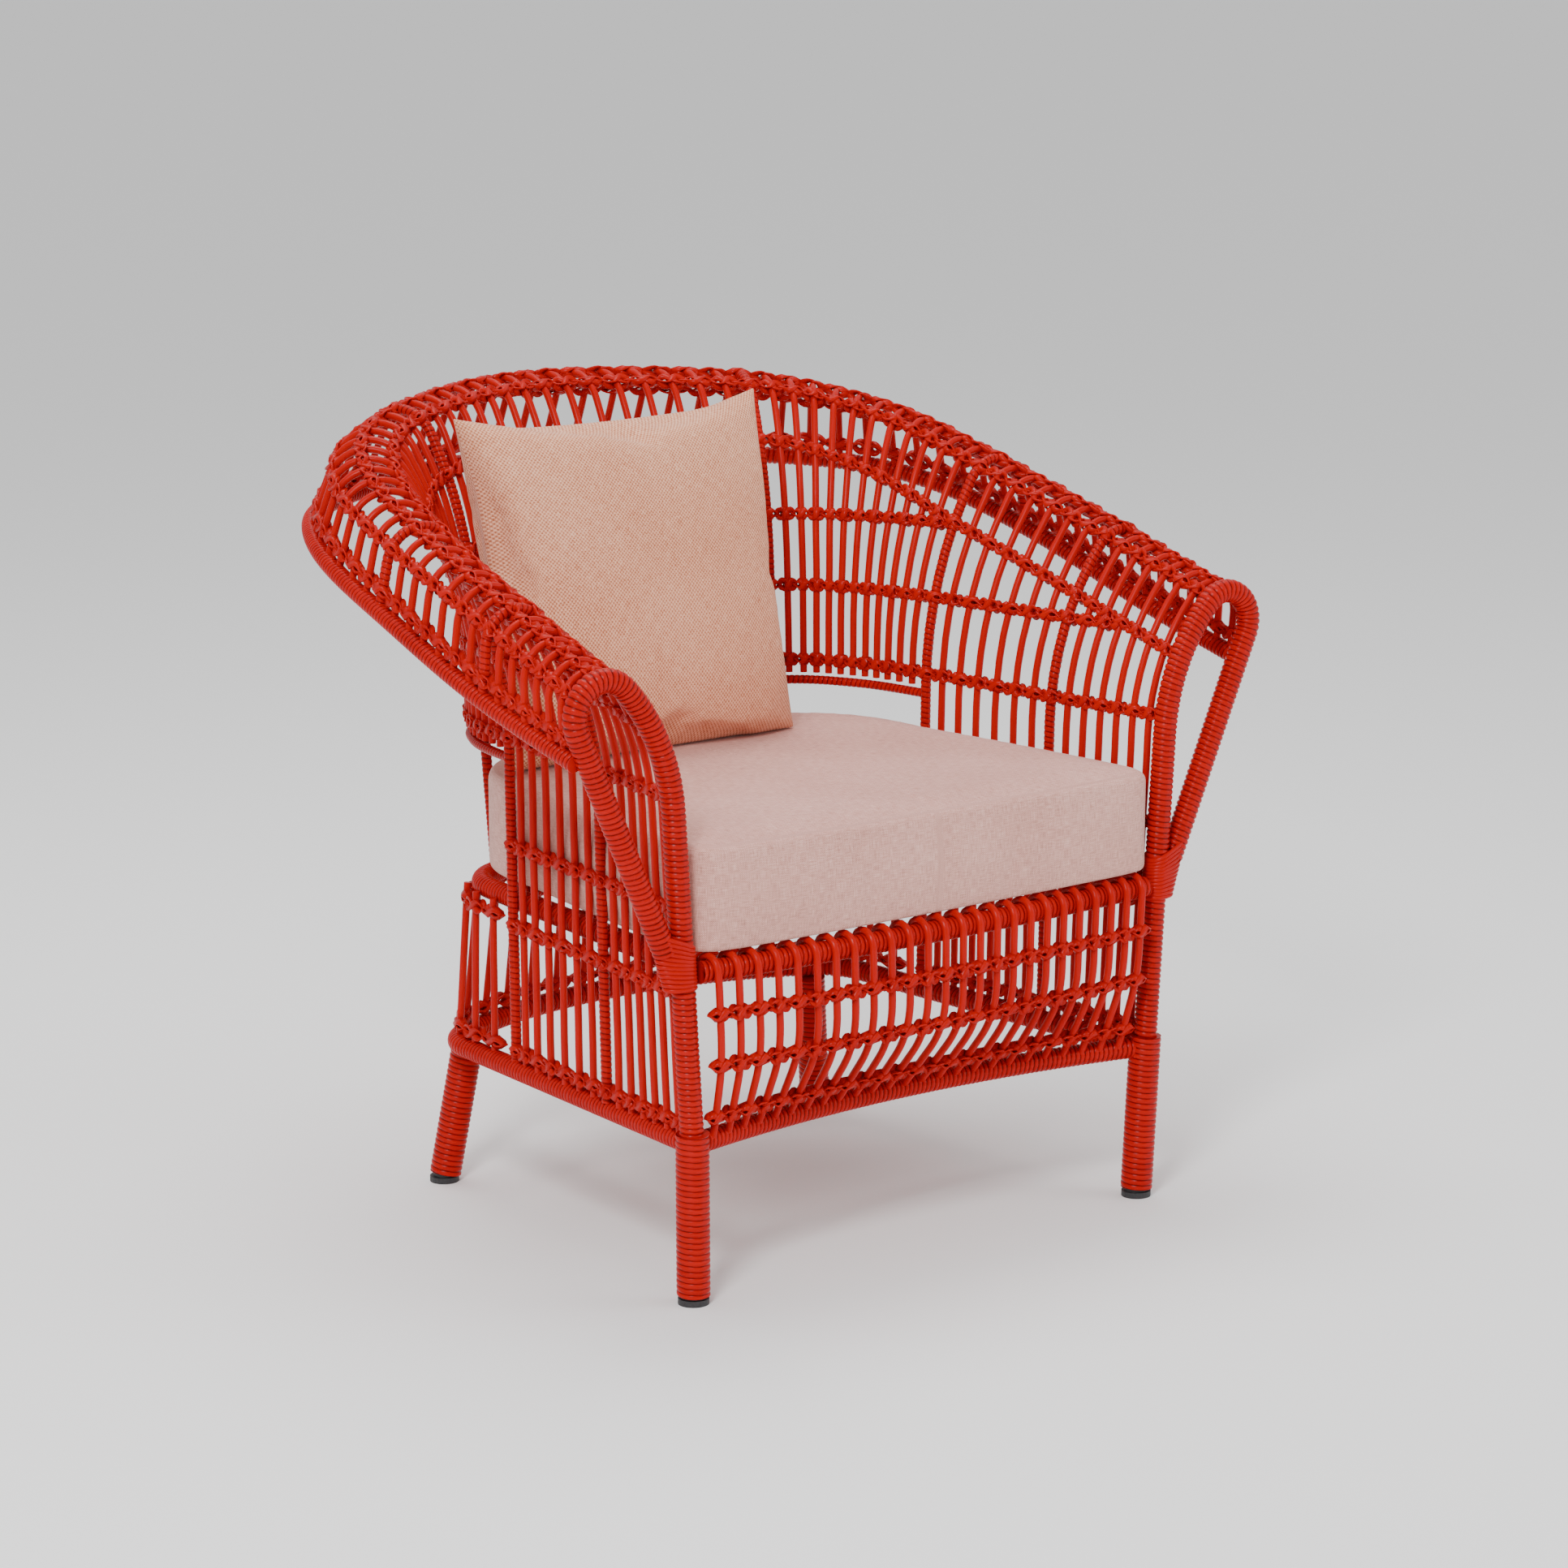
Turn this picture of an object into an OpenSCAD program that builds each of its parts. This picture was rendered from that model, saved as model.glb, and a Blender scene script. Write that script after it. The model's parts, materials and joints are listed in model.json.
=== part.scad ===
// Rolled-rim woven lounge armchair. Units mm, +Z up, chair front faces -Y.
// Origin: floor level, at the middle of the plan outline.

/* [Overall size] */
// half distance between the front leg centres
front_half = 285; // [245:1:335]
// height of the arm front above the floor (centre of the bend)
arm_height = 620; // [590:1:700]
// height of the cane crest at the middle of the back
back_height = 802; // [740:1:900]
// depth of the back wall behind the front legs, at belt height
back_depth = 546; // [470:1:640]
// height of the seat rail centre
seat_rail_z = 328; // [300:1:345]
// height of the base rail centre
base_rail_z = 158; // [130:1:190]

/* [Tubes and binding] */
// bare tube in the lower legs
leg_tube_d = 28; // [22:0.5:32]
// lower leg over its binding
leg_bound_d = 33; // [33:0.5:40]
// bare tube of the two arm hoops
hoop_tube_d = 20; // [16:0.5:21]
// arm hoop over its binding
hoop_bound_d = 24; // [23.5:0.5:28]
// base and seat rails over their binding
rail_bound_d = 22; // [21:0.5:26]
// rim rail over its binding
rim_d = 19; // [15:0.5:23]
// upright ribs over their binding
rib_d = 11.2; // [9:0.1:13]
// rail under the back panel, over its binding
lower_rail_d = 10; // [8:0.5:12]
// tube wall
wall = 1.6; // [1:0.1:3]
// height of each foot glide under the tube
glide_h = 6; // [4:0.5:12]

/* [Weave] */
// diameter of one cane
cane_d = 7.6; // [5:0.1:9]
// canes in the front arm panel, each side
canes_a = 6; // [4:1:8]
// canes in the second arm panel, each side
canes_b = 6; // [4:1:8]
// canes in each back corner panel
canes_c = 11; // [8:1:14]
// canes in the middle of the back (odd)
canes_d = 15; // [9:2:19]
// canes over the front rail
canes_front = 25; // [17:2:31]
// canes in the rear apron
canes_rear = 19; // [11:2:25]
// depth of a lacing band through the wall
band_t = 13; // [9:0.5:16]
// height of a lacing band
band_h = 13; // [8:0.5:15]

/* [Cushions] */
// height of the seat cushion top
seat_top_z = 448; // [420:1:470]
// pillow width
pillow_w = 366; // [320:1:400]
// pillow height
pillow_h = 350; // [320:1:420]
// pillow thickness
pillow_t = 120; // [90:1:150]
// cushion cover thickness
cover_t = 1.5; // [0.8:0.1:3]
// free gap between a loose cushion and what it lies against
soft_gap = 0.4; // [0.3:0.1:2]

/* [Hidden] */
$fn = 48;
kx = front_half / 285;
ky = back_depth / 546;
n1 = canes_a + 1;
n2 = n1 + canes_b + 1;
n4 = n2 + canes_c + 1;
n3 = (n2 + n4) / 2;
n5 = n4 + (canes_d + 1) / 2;
st = [0, n1, n2, n3, n4, n5];
// wall shape at the six stations, arm front to middle of the back
wall_x = [for (v = [309, 287, 268, 245, 188, 0]) v * kx];
wall_y = [for (v = [-5, 145, 322, 417, 482, 546]) v * ky];
heading = [0, 0, 3, 34, 72, 90];
lean = [3.6, 1.3, 0.8, 3, 5, 9];
crest_f = [0, 0.249, 0.545, 0.795, 0.955, 1];
crest_z = [for (f = crest_f) arm_height + (back_height - arm_height) * f];
flare = [44, 40, 33, 31, 29, 31];
r_roll = [33, 35, 39, 42, 44, 45];
roll_end = [186, 176, 168, 161, 155, 156];
rim_drop = [76, 83, 79, 80, 95, 98];
belt_z = 470;
// bend radius of the wall, less where the wall is low
r_wall = [for (k = [0:5]) [200, 290, 400, 420, 420, 420][k] * (crest_z[k] - belt_z) / (150 + 182 * crest_f[k])];
cane_r = cane_d / 2;
rail_r = rail_bound_d / 2;
cane_low = base_rail_z + rail_r - 3;
ring_side_a = 3.76;
deck_top = seat_rail_z + rail_r + cane_d;
cushion_z = deck_top + soft_gap;
cushion_t = seat_top_z - cushion_z;
pillow_lean = 11;
pillow_x = pillow_w / 2 - 249 * kx;
pillow_y = 358 * ky;
red = [0.78, 0.12, 0.08];
metal = [0.75, 0.76, 0.78];

// ---------- interpolation between the stations
function seg(i, k = 0) = (k >= 4 || i <= st[k + 1]) ? k : seg(i, k + 1);
function slope(t, j, flat) =
    j == 0 ? (t[1] - t[0]) / (st[1] - st[0]) :
    j == 5 ? (flat ? 0 : (t[5] - t[4]) / (st[5] - st[4])) :
    (t[j + 1] - t[j - 1]) / (st[j + 1] - st[j - 1]);
function herm(a, b, m, n, u) =
    (2*u*u*u - 3*u*u + 1) * a + (u*u*u - 2*u*u + u) * m
    + (3*u*u - 2*u*u*u) * b + (u*u*u - u*u) * n;
function mix(t, i, flat = true) =
    let (k = seg(i), h = st[k + 1] - st[k], u = (i - st[k]) / h)
    herm(t[k], t[k + 1], slope(t, k, flat) * h, slope(t, k + 1, flat) * h, u);
// numbers of one cane: x, y, heading, lean, flare, r1, r2, roll end, zc, rim z
function cane(i) =
    let (zk = mix(crest_z, i), r2 = mix(r_roll, i))
    [mix(wall_x, i, false), mix(wall_y, i), mix(heading, i, false), mix(lean, i),
     mix(flare, i), mix(r_wall, i), r2, mix(roll_end, i), zk - r2, zk - mix(rim_drop, i)];
function z1(c) = c[8] + c[6] * sin(c[4]) - c[5] * (sin(c[4]) - sin(c[3]));
function s1(c) = (z1(c) - belt_z) * tan(c[3]);
function sc(c) = s1(c) + c[5] * (cos(c[3]) - cos(c[4])) + c[6] * cos(c[4]);
function s_low(c, z) = (z - belt_z) * tan(c[3]);
function s_mid(c, z) =
    let (t = asin((z - z1(c)) / c[5] + sin(c[3])))
    s1(c) + c[5] * (cos(c[3]) - cos(t));
// inner side of the wall at height z
function s_at(c, z) =
    z <= z1(c) ? s_low(c, z) :
    z <= c[8] + c[6] * sin(c[4]) ? s_mid(c, z) :
    sc(c) - c[6] * cos(asin(min(1, (z - c[8]) / c[6])));
// point on the roll where the cane runs at angle t from upright
function on_roll(c, t) = [sc(c) - c[6] * cos(t), c[8] + c[6] * sin(t)];
// point on the outer drop at height z
function on_drop(c, z) =
    let (e = on_roll(c, c[7]), l = (e[1] - z) / -cos(c[7])) [e[0] + l * sin(c[7]), z];
function space(c, p, side = 1) = [side * (c[0] + p[0] * cos(c[2])), c[1] + p[0] * sin(c[2]), p[1]];

// ---------- shared shapes
// run segments meet end to end with a hairline joint
seam = 0.01;
function arc_fn(rad) = max(48, ceil(rad));

module disc(r, ri) {
    difference() {
        circle(r = r, $fn = 48);
        if (ri > 0) circle(r = ri, $fn = 48);
    }
}

// straight round bar between two points
module rod(p, q, r, ri = 0) {
    d = q - p;
    l = norm(d);
    translate(p + d * seam / l)
    rotate([0, acos(d[2] / l), atan2(d[1], d[0])])
    linear_extrude(height = l - 2 * seam) disc(r, ri);
}

// bent bar in the local x-z plane, angles from +x towards +z
module bend_xz(cx, cz, rad, from, to, r, ri = 0) {
    g = seam / rad * 180 / PI;
    translate([cx, 0, cz])
    rotate([90, 0, 0])
    rotate_extrude(angle = to - from - 2 * g, start = from + g, $fn = arc_fn(rad)) translate([rad, 0]) disc(r, ri);
}

// bent bar made of n shorter bends
module bend_run(cx, cz, rad, from, to, r, n) {
    w = (to - from) / n;
    for (k = [0:n - 1]) bend_xz(cx, cz, rad, from + k * w, from + (k + 1) * w, r);
}

// bent bar lying level, angles from +x towards +y
module bend_xy(cx, cy, z, rad, from, to, r, ri = 0) {
    g = seam / rad * 180 / PI;
    translate([cx, cy, z])
    rotate_extrude(angle = to - from - 2 * g, start = from + g, $fn = arc_fn(rad)) translate([rad, 0]) disc(r, ri);
}

// bar of many-sided section through a list of points
module sweep(pts, a, b, n) {
    m = len(pts);
    function tang(i) =
        let (d = pts[min(m - 1, i + 1)] - pts[max(0, i - 1)]) d / norm(d);
    function ring(i) =
        let (t = tang(i), u0 = cross(t, [0, 0, 1]), u = u0 / norm(u0), v = cross(u, t))
        [for (k = [0:n - 1]) pts[i] + u * a * cos(360 * k / n) + v * b * sin(360 * k / n)];
    verts = [for (i = [0:m - 1]) each ring(i)];
    sides = [for (i = [0:m - 2]) for (k = [0:n - 1])
        each [[i * n + k, (i + 1) * n + k, (i + 1) * n + (k + 1) % n],
              [i * n + k, (i + 1) * n + (k + 1) % n, i * n + (k + 1) % n]]];
    cap0 = [[for (k = [0:n - 1]) k]];
    cap1 = [[for (k = [n - 1:-1:0]) (m - 1) * n + k]];
    polyhedron(points = verts, faces = concat(sides, cap0, cap1), convexity = 6);
}

// places a local x-z profile at cane i on one side of the chair
module station(c, side) {
    translate([side * c[0], c[1], 0])
    rotate([0, 0, side > 0 ? c[2] : 180 - c[2]])
    children();
}

// one wall cane: upright, flare, roll and outer drop down to the rim rail
module wall_cane(i, side, low, r) {
    c = cane(i);
    e = on_roll(c, c[7]);
    d = on_drop(c, c[9]);
    station(c, side) {
        rod([s_low(c, low), 0, low], [s1(c), 0, z1(c)], r);
        bend_run(s1(c) + c[5] * cos(c[3]), z1(c) - c[5] * sin(c[3]), c[5], 180 - c[4], 180 - c[3], r, 2);
        bend_run(sc(c), c[8], c[6], 180 - c[7], 180 - c[4], r, 2);
        rod([e[0], 0, e[1]], [d[0], 0, d[1]], r);
    }
}

// ---------- base and seat rings (side line, corner, back arc)
// ring: front x, front y, side angle, corner radius, back radius, back y
base_ring = [front_half, 0, ring_side_a, 60, 507 * kx, 523 * ky];
seat_ring = [front_half + 6 - rail_r, 6, 5.4, 70, 480 * kx, 495 * ky];
function ring_c(g) =
    let (u = [g[0] - g[3] * cos(g[2]), g[1] - g[3] * sin(g[2]) - (g[5] - g[4])],
         d = [-sin(g[2]), cos(g[2])], ud = u * d,
         t = -ud + sqrt(ud * ud - u * u + (g[4] - g[3]) * (g[4] - g[3])))
    [u[0] + t * d[0], u[1] + t * d[1] + g[5] - g[4]];
function ring_a(g) = let (c = ring_c(g)) atan2(c[1] - g[5] + g[4], c[0]);

module back_ring(g, z, r, ri) {
    c = ring_c(g);
    a = ring_a(g);
    e = [c[0] + g[3] * cos(g[2]), c[1] + g[3] * sin(g[2])];
    bend_xy(0, g[5] - g[4], z, g[4], a, 180 - a, r, ri);
    bend_xy(c[0], c[1], z, g[3], g[2], a, r, ri);
    bend_xy(-c[0], c[1], z, g[3], 180 - a, 180 - g[2], r, ri);
    rod([g[0], g[1], z], [e[0], e[1], z], r, ri);
    rod([-g[0], g[1], z], [-e[0], e[1], z], r, ri);
}

// level front bar bowed by b (positive runs towards the back)
module bowed_bar(half, y, b, z, r, ri) {
    rad = (half * half + b * b) / (2 * abs(b));
    a = asin(half / rad);
    if (b > 0)
        bend_xy(0, y + b - rad, z, rad, 90 - a, 90 + a, r, ri);
    else
        bend_xy(0, y + b + rad, z, rad, 270 - a, 270 + a, r, ri);
}

base_bow = 32;
seat_bow = -14;
seat_front_y = -8;
function bow_y(x, half, y, b) = y + b * (1 - (x * x) / (half * half));

// plan outline: foremost point of the front canes, rearmost point of the rim
front_edge = seat_front_y + seat_bow - rail_r - cane_r - max(cane_r, band_t / 2);
rear_edge = wall_y[5] + on_drop(cane(n5), cane(n5)[9])[0] + rim_d / 2;
origin_y = (front_edge + rear_edge) / 2;

// ---------- legs and arm hoops
hoop = cane(0);
hoop_end = 204;
leg_top = base_rail_z - rail_r;
function hoop_x(z) = hoop[0] + s_low(hoop, z);
fr_foot = [front_half, 0, 0];
fr_top = [hoop_x(base_rail_z), hoop[1], base_rail_z];
rr_ring = [224 * kx, 464 * ky, base_rail_z];
rr_dir = [22 * kx, 18 * ky, -base_rail_z];
rr_foot = rr_ring + rr_dir;
function along(p, q, z) = p + (q - p) * ((z - p[2]) / (q[2] - p[2]));

module leg(p, q, side, z0, z1, r, ri) {
    a = along(p, q, z0);
    b = along(p, q, z1);
    rod([side * a[0], a[1], a[2]], [side * b[0], b[1], b[2]], r, ri);
}

module leg_tube(p, q, side) {
    color(metal)
    leg(p, q, side, glide_h, leg_top, leg_tube_d / 2, leg_tube_d / 2 - wall);
}

module leg_binding(p, q, side) {
    color(red)
    leg(p, q, side, glide_h + 3, leg_top, leg_bound_d / 2, leg_tube_d / 2);
}

module leg_tube_front_left() leg_tube(fr_foot, fr_top, -1);
module leg_tube_front_right() leg_tube(fr_foot, fr_top, 1);
module leg_tube_rear_left() leg_tube(rr_foot, rr_ring, -1);
module leg_tube_rear_right() leg_tube(rr_foot, rr_ring, 1);
module leg_binding_front_left() leg_binding(fr_foot, fr_top, -1);
module leg_binding_front_right() leg_binding(fr_foot, fr_top, 1);
module leg_binding_rear_left() leg_binding(rr_foot, rr_ring, -1);
module leg_binding_rear_right() leg_binding(rr_foot, rr_ring, 1);

// black plastic caps: a flat pad with a spigot up inside the tube
module foot_glides() {
    color([0.06, 0.06, 0.06])
    for (side = [-1, 1]) {
        glide_pad(fr_foot, fr_top, side);
        glide_pad(rr_foot, rr_ring, side);
    }
}

module glide_pad(p, q, side) {
    a = along(p, q, glide_h / 2);
    translate([side * a[0], a[1], 0]) cylinder(r = leg_tube_d / 2 + 1.2, h = glide_h);
    leg(p, q, side, glide_h - 0.5, glide_h + 16, leg_tube_d / 2 - wall, 0);
}

// hoop: upright, flare, tight bend and outer leg coming back to the upright
module hoop_bar(side, r, ri, zj) {
    c = hoop;
    e = on_roll(c, hoop_end);
    q = [e[0] - (e[1] - zj) * tan(hoop_end - 180), zj];
    station(c, side) {
        rod([s_low(c, leg_top), 0, leg_top], [s1(c), 0, z1(c)], r, ri);
        bend_xz(s1(c) + c[5] * cos(c[3]), z1(c) - c[5] * sin(c[3]), c[5], 180 - c[4], 180 - c[3], r, ri);
        bend_xz(sc(c), c[8], c[6], 180 - hoop_end, 180 - c[4], r, ri);
        rod([e[0], 0, e[1]], [q[0], 0, q[1]], r, ri);
    }
}

weld_z = seat_rail_z + 22;
wrap_top = seat_rail_z + 46;
module hoop_tube_left() color(metal) hoop_bar(-1, hoop_tube_d / 2, 0, weld_z);
module hoop_tube_right() color(metal) hoop_bar(1, hoop_tube_d / 2, 0, weld_z);

module hoop_sleeve(side) {
    color(red) hoop_bar(side, hoop_bound_d / 2, hoop_tube_d / 2, wrap_top);
}

module hoop_binding_left() hoop_sleeve(-1);
module hoop_binding_right() hoop_sleeve(1);

// strips wound round the upright and the outer leg where they meet
module joint_wrap(side) {
    z0 = seat_rail_z - 8;
    h = 54;
    w = hoop_bound_d / 2 + 2;
    color(red)
    difference() {
        station(hoop, side)
        translate([s_low(hoop, z0), 0, z0])
        rotate([0, lean[0], 0])
        linear_extrude(height = h) {
            translate([5, 0]) circle(r = w);
            translate([16, 0]) circle(r = w - 1);
            translate([5, 1 - w]) square([11, 2 * w - 2]);
        }
        hoop_bar(side, hoop_bound_d / 2, 0, weld_z);
    }
}

module joint_wrap_left() joint_wrap(-1);
module joint_wrap_right() joint_wrap(1);

// ---------- rails
base_half = front_half - 2;
seat_half = front_half - 2;

module base_rail_back() color(red) back_ring(base_ring, base_rail_z, rail_r, 0);
module base_rail_front() color(red) bowed_bar(base_half, 0, base_bow, base_rail_z, rail_r, 0);
module seat_rail_back() color(red) back_ring(seat_ring, seat_rail_z, rail_r, 0);
module seat_rail_front() {
    color(red) bowed_bar(seat_half, seat_front_y, seat_bow, seat_rail_z, rail_r, 0);
}

// bars across the seat under the cushion
module seat_cross_bars() {
    color(red)
    for (y = [110, 230, 350]) {
        x = seat_ring[0] - (y - seat_ring[1]) * tan(seat_ring[2]);
        rod([-x, y * ky, seat_rail_z + 3], [x, y * ky, seat_rail_z + 3], 7);
    }
}

function rim_pt(i, side) = let (c = cane(i)) space(c, on_drop(c, c[9]), side);
function mirror_list(f) = [for (k = [len(f) - 2:-1:0]) [-f[k][0], f[k][1], f[k][2]]];
function both(f) = concat(f, mirror_list(f));
function steps(a, b, n) = [for (k = [0:n]) a + (b - a) * k / n];

module rim_rail() {
    f = [for (i = steps(0.45, n5, 20)) rim_pt(i, 1)];
    color(red) sweep(both(f), rim_d / 2, rim_d / 2, 12);
}

module back_lower_rail() {
    z = belt_z + 8;
    f = [for (i = steps(n2, n5, 12)) let (c = cane(i)) space(c, [s_at(c, z), z])];
    color(red) sweep(both(f), lower_rail_d / 2, lower_rail_d / 2, 10);
}

// ---------- ribs: bound rods that follow the canes
module rib_arm_left() color(red) wall_cane(n1, -1, cane_low, rib_d / 2);
module rib_arm_right() color(red) wall_cane(n1, 1, cane_low, rib_d / 2);
module rib_corner_left() color(red) wall_cane(n2, -1, cane_low, rib_d / 2);
module rib_corner_right() color(red) wall_cane(n2, 1, cane_low, rib_d / 2);
module rib_back_left() color(red) wall_cane(n4, -1, seat_rail_z, rib_d / 2);
module rib_back_right() color(red) wall_cane(n4, 1, seat_rail_z, rib_d / 2);

// ---------- canes
module cane_run(a, b, side, low) {
    color(red)
    for (i = [a:b]) wall_cane(i, side, low, cane_r);
}

module canes_arm_left() {
    cane_run(1, n1 - 1, -1, cane_low);
    cane_run(n1 + 1, n2 - 1, -1, cane_low);
}

module canes_arm_right() {
    cane_run(1, n1 - 1, 1, cane_low);
    cane_run(n1 + 1, n2 - 1, 1, cane_low);
}

back_low = belt_z + 16;
module canes_back_left() cane_run(n2 + 1, n4 - 1, -1, back_low);
module canes_back_right() cane_run(n2 + 1, n4 - 1, 1, back_low);
module canes_back_middle() {
    cane_run(n4 + 1, n5 - 1, -1, back_low);
    cane_run(n4 + 1, n5, 1, back_low);
}

// front canes: over the seat rail, down, then back under to the front of the base rail
front_r = rail_r + cane_r;
front_span = front_half - 5 - rail_r - cane_r - 0.2;
front_low = base_rail_z + 4;
front_tilt = 3;
knee_z = base_rail_z + 112;
// numbers of one front cane: rail y, y of its low end, knee radius, end angle of the knee
function front_nums(x) =
    let (yr = bow_y(x, seat_half, seat_front_y, seat_bow), yb = bow_y(x, base_half, 0, base_bow) - 5,
         d = yb - yr + front_r, h = knee_z - front_low, k = 0.75 * (d * d + h * h) / (2 * d),
         t = 360 + atan2(-h, d - k) - acos(k / norm([d - k, h])))
    [yr, yb, k, t];
module front_cane(x) {
    f = front_nums(x);
    k = f[2];
    translate([x, f[0], seat_rail_z])
    rotate([0, front_tilt * x / front_span, 0])
    translate([0, 0, -seat_rail_z])
    rotate([0, 0, 90]) {
        bend_xz(0, seat_rail_z, front_r, 0, 180, cane_r);
        rod([-front_r, 0, knee_z], [-front_r, 0, seat_rail_z], cane_r);
        bend_xz(k - front_r, knee_z, k, 180, f[3], cane_r);
        rod([k - front_r + k * cos(f[3]), 0, knee_z + k * sin(f[3])], [f[1] - f[0], 0, front_low], cane_r);
    }
}

module canes_front_apron() {
    color(red)
    for (k = [0:canes_front - 1]) front_cane(front_span * (2 * k / (canes_front - 1) - 1));
}

// rear canes: short uprights from the base rail to just under the seat rail
function ring_pt(g, u) =
    let (c = ring_c(g), a = ring_a(g), l = (c[1] - 345 * ky), arc = g[3] * (a - g[2]) * PI / 180,
         back = g[4] * (90 - a) * PI / 180, d = u * (l + arc + back))
    d < l ? [c[0] + g[3] * cos(g[2]) + (l - d) * sin(g[2]), c[1] - l + d + g[3] * sin(g[2])] :
    d < l + arc ? let (w = g[2] + (d - l) / g[3] * 180 / PI) [c[0] + g[3] * cos(w), c[1] + g[3] * sin(w)] :
    let (w = a + (d - l - arc) / g[4] * 180 / PI) [g[4] * cos(w), g[5] - g[4] + g[4] * sin(w)];
function ring_out(g, u, o) =
    let (p = ring_pt(g, u), q = ring_pt(g, min(1, u + 0.01)), p0 = ring_pt(g, u - 0.01), d = (q - p0) / norm(q - p0))
    p + o * [d[1], -d[0]];
rear_top = seat_rail_z - 2;
function rear_pt(u, z) =
    let (b = ring_pt(base_ring, u), t = ring_out(seat_ring, u, rail_r + cane_r),
         f = (z - base_rail_z) / (seat_rail_z - base_rail_z), p = b + (t - b) * f)
    [p[0], p[1], z];

module canes_rear_apron() {
    h = (canes_rear - 1) / 2;
    color(red)
    for (k = [0:h]) for (side = [-1, 1]) if (side > 0 || k < h) {
        a = rear_pt((k + 0.5) / (h + 0.5), cane_low);
        b = rear_pt((k + 0.5) / (h + 0.5), rear_top);
        rod([side * a[0], a[1], a[2]], [side * b[0], b[1], b[2]], cane_r);
    }
}

// ---------- lacing bands: strips wound across the canes
module band(f) color(red) sweep(f, band_t / 2, band_h / 2, 6);
function wall_line(i0, i1, n, z) = [for (i = steps(i0, i1, n)) let (c = cane(i)) space(c, [s_at(c, z), z])];
function roll_line(t) = [for (i = steps(0.4, n5, 20)) let (c = cane(i)) space(c, on_roll(c, t))];
under_z = 62;
function find_i(z, lo = 0, hi = n5, k = 0) =
    let (m = (lo + hi) / 2, v = cane(m)[8] + cane(m)[6] - under_z)
    k > 14 ? m : (v < z ? find_i(z, m, hi, k + 1) : find_i(z, lo, m, k + 1));
upper_z = 655;
mid_z = 580;
band_belt_z = 500;

module band_ridge() band(both(roll_line(56)));
module band_crest() band(both(roll_line(100)));
module band_roll_outer() band(both(roll_line(148)));
module band_rim() {
    f = [for (i = steps(0.4, n5, 20)) let (c = cane(i)) space(c, on_drop(c, c[9] + 20))];
    band(both(f));
}
module band_under_ridge() {
    f = [for (i = steps(0.4, n5, 20)) let (c = cane(i), z = c[8] + c[6] - under_z) space(c, [s_at(c, z), z])];
    band(both(f));
}
module band_back_upper() band(both(wall_line(find_i(upper_z) + 0.5, n5, 12, upper_z)));
module band_back_middle() band(both(wall_line(find_i(mid_z) + 0.7, n5, 16, mid_z)));
module band_belt() band(both(wall_line(0.5, n5, 20, band_belt_z)));

module side_band(z) {
    f = wall_line(0.5, n2, 4, z);
    band(f);
    band([for (k = [len(f) - 1:-1:0]) [-f[k][0], f[k][1], f[k][2]]]);
}

module bands_side_upper() side_band(390);
module bands_side_seat() side_band(seat_rail_z - 20);
module bands_side_foot() side_band(base_rail_z + 20);

// y of the front canes at height z
function front_y(x, z) =
    let (f = front_nums(x), k = f[2], ze = knee_z + k * sin(f[3]), ye = f[0] - front_r + k + k * cos(f[3]))
    z >= knee_z ? f[0] - front_r :
    z >= ze ? f[0] - front_r + k - sqrt(k * k - (z - knee_z) * (z - knee_z)) :
    ye + (f[1] - ye) * (ze - z) / (ze - front_low);
module front_band(z) {
    half = front_half - 11;
    band([for (x = steps(-half, half, 24)) [x, front_y(x, z), z]]);
}
band_upper_z = seat_rail_z - 40;
band_lower_z = base_rail_z + 25;
band_middle_z = band_lower_z + (band_upper_z - band_lower_z) * 54 / 105;
module band_front_upper() front_band(band_upper_z);
module band_front_middle() front_band(band_middle_z);
module band_front_lower() front_band(band_lower_z);

module rear_band(z) {
    f = [for (u = steps(0, 1, 10)) rear_pt(u, z)];
    band(both(f));
}
module band_rear_upper() rear_band(seat_rail_z - 16);
module band_rear_lower() rear_band(base_rail_z + 20);

// ---------- cushions
function pad_half(u, o) =
    let (a = 286 - o, b = 275 - o, c = 256 - o)
    u < 0.5 ? [a - (a - b) * u * 2, 30 + 115 * u * 2] : [b - (b - c) * (u - 0.5) * 2, 145 + 165 * (u - 0.5) * 2];
function pad_back(w, o) = [(256 - o) * pow(cos(w), 0.62), 310 + (178 - o) * pow(sin(w), 0.8)];
function pad_outline(o) =
    let (r = concat([[0, -18 + o], [262 - o, -18 + o], [280 - o, -10 + o]],
                    [for (u = [0:0.25:1]) pad_half(u, o)], [for (w = [15:15:90]) pad_back(w, o)]))
    concat(r, [for (k = [len(r) - 2:-1:1]) [-r[k][0], r[k][1]]]);
module pad_shape(o) {
    polygon([for (p = pad_outline(o)) [p[0] * kx, p[1] * ky]]);
}

module pad_block(o) {
    e = 10;
    translate([0, 0, cushion_z + o]) linear_extrude(height = cushion_t - 2 * o) pad_shape(o + e / 2);
    translate([0, 0, cushion_z + e + o]) linear_extrude(height = cushion_t - 2 * e - 2 * o) pad_shape(o);
}

module seat_cushion_cover() {
    color([0.83, 0.75, 0.73])
    difference() {
        pad_block(0);
        pad_block(cover_t);
    }
}

module seat_cushion_foam() color([0.95, 0.93, 0.85]) pad_block(cover_t);

module pillow_block(o) {
    tiers = [[0.24, 1], [0.52, 0.96], [0.78, 0.9], [1, 0.8]];
    translate([pillow_x, pillow_y, seat_top_z + soft_gap + 0.12 * pillow_t * sin(pillow_lean)])
    rotate([-pillow_lean, 0, 0])
    rotate([90, 0, 0])
    for (t = tiers) {
        h = pillow_t * t[0] - 2 * o;
        w = pillow_w * t[1] - 2 * o;
        l = pillow_h * t[1] - 2 * o;
        translate([-w / 2, (pillow_h - l) / 2, -h / 2]) cube([w, l, h]);
    }
}

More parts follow.
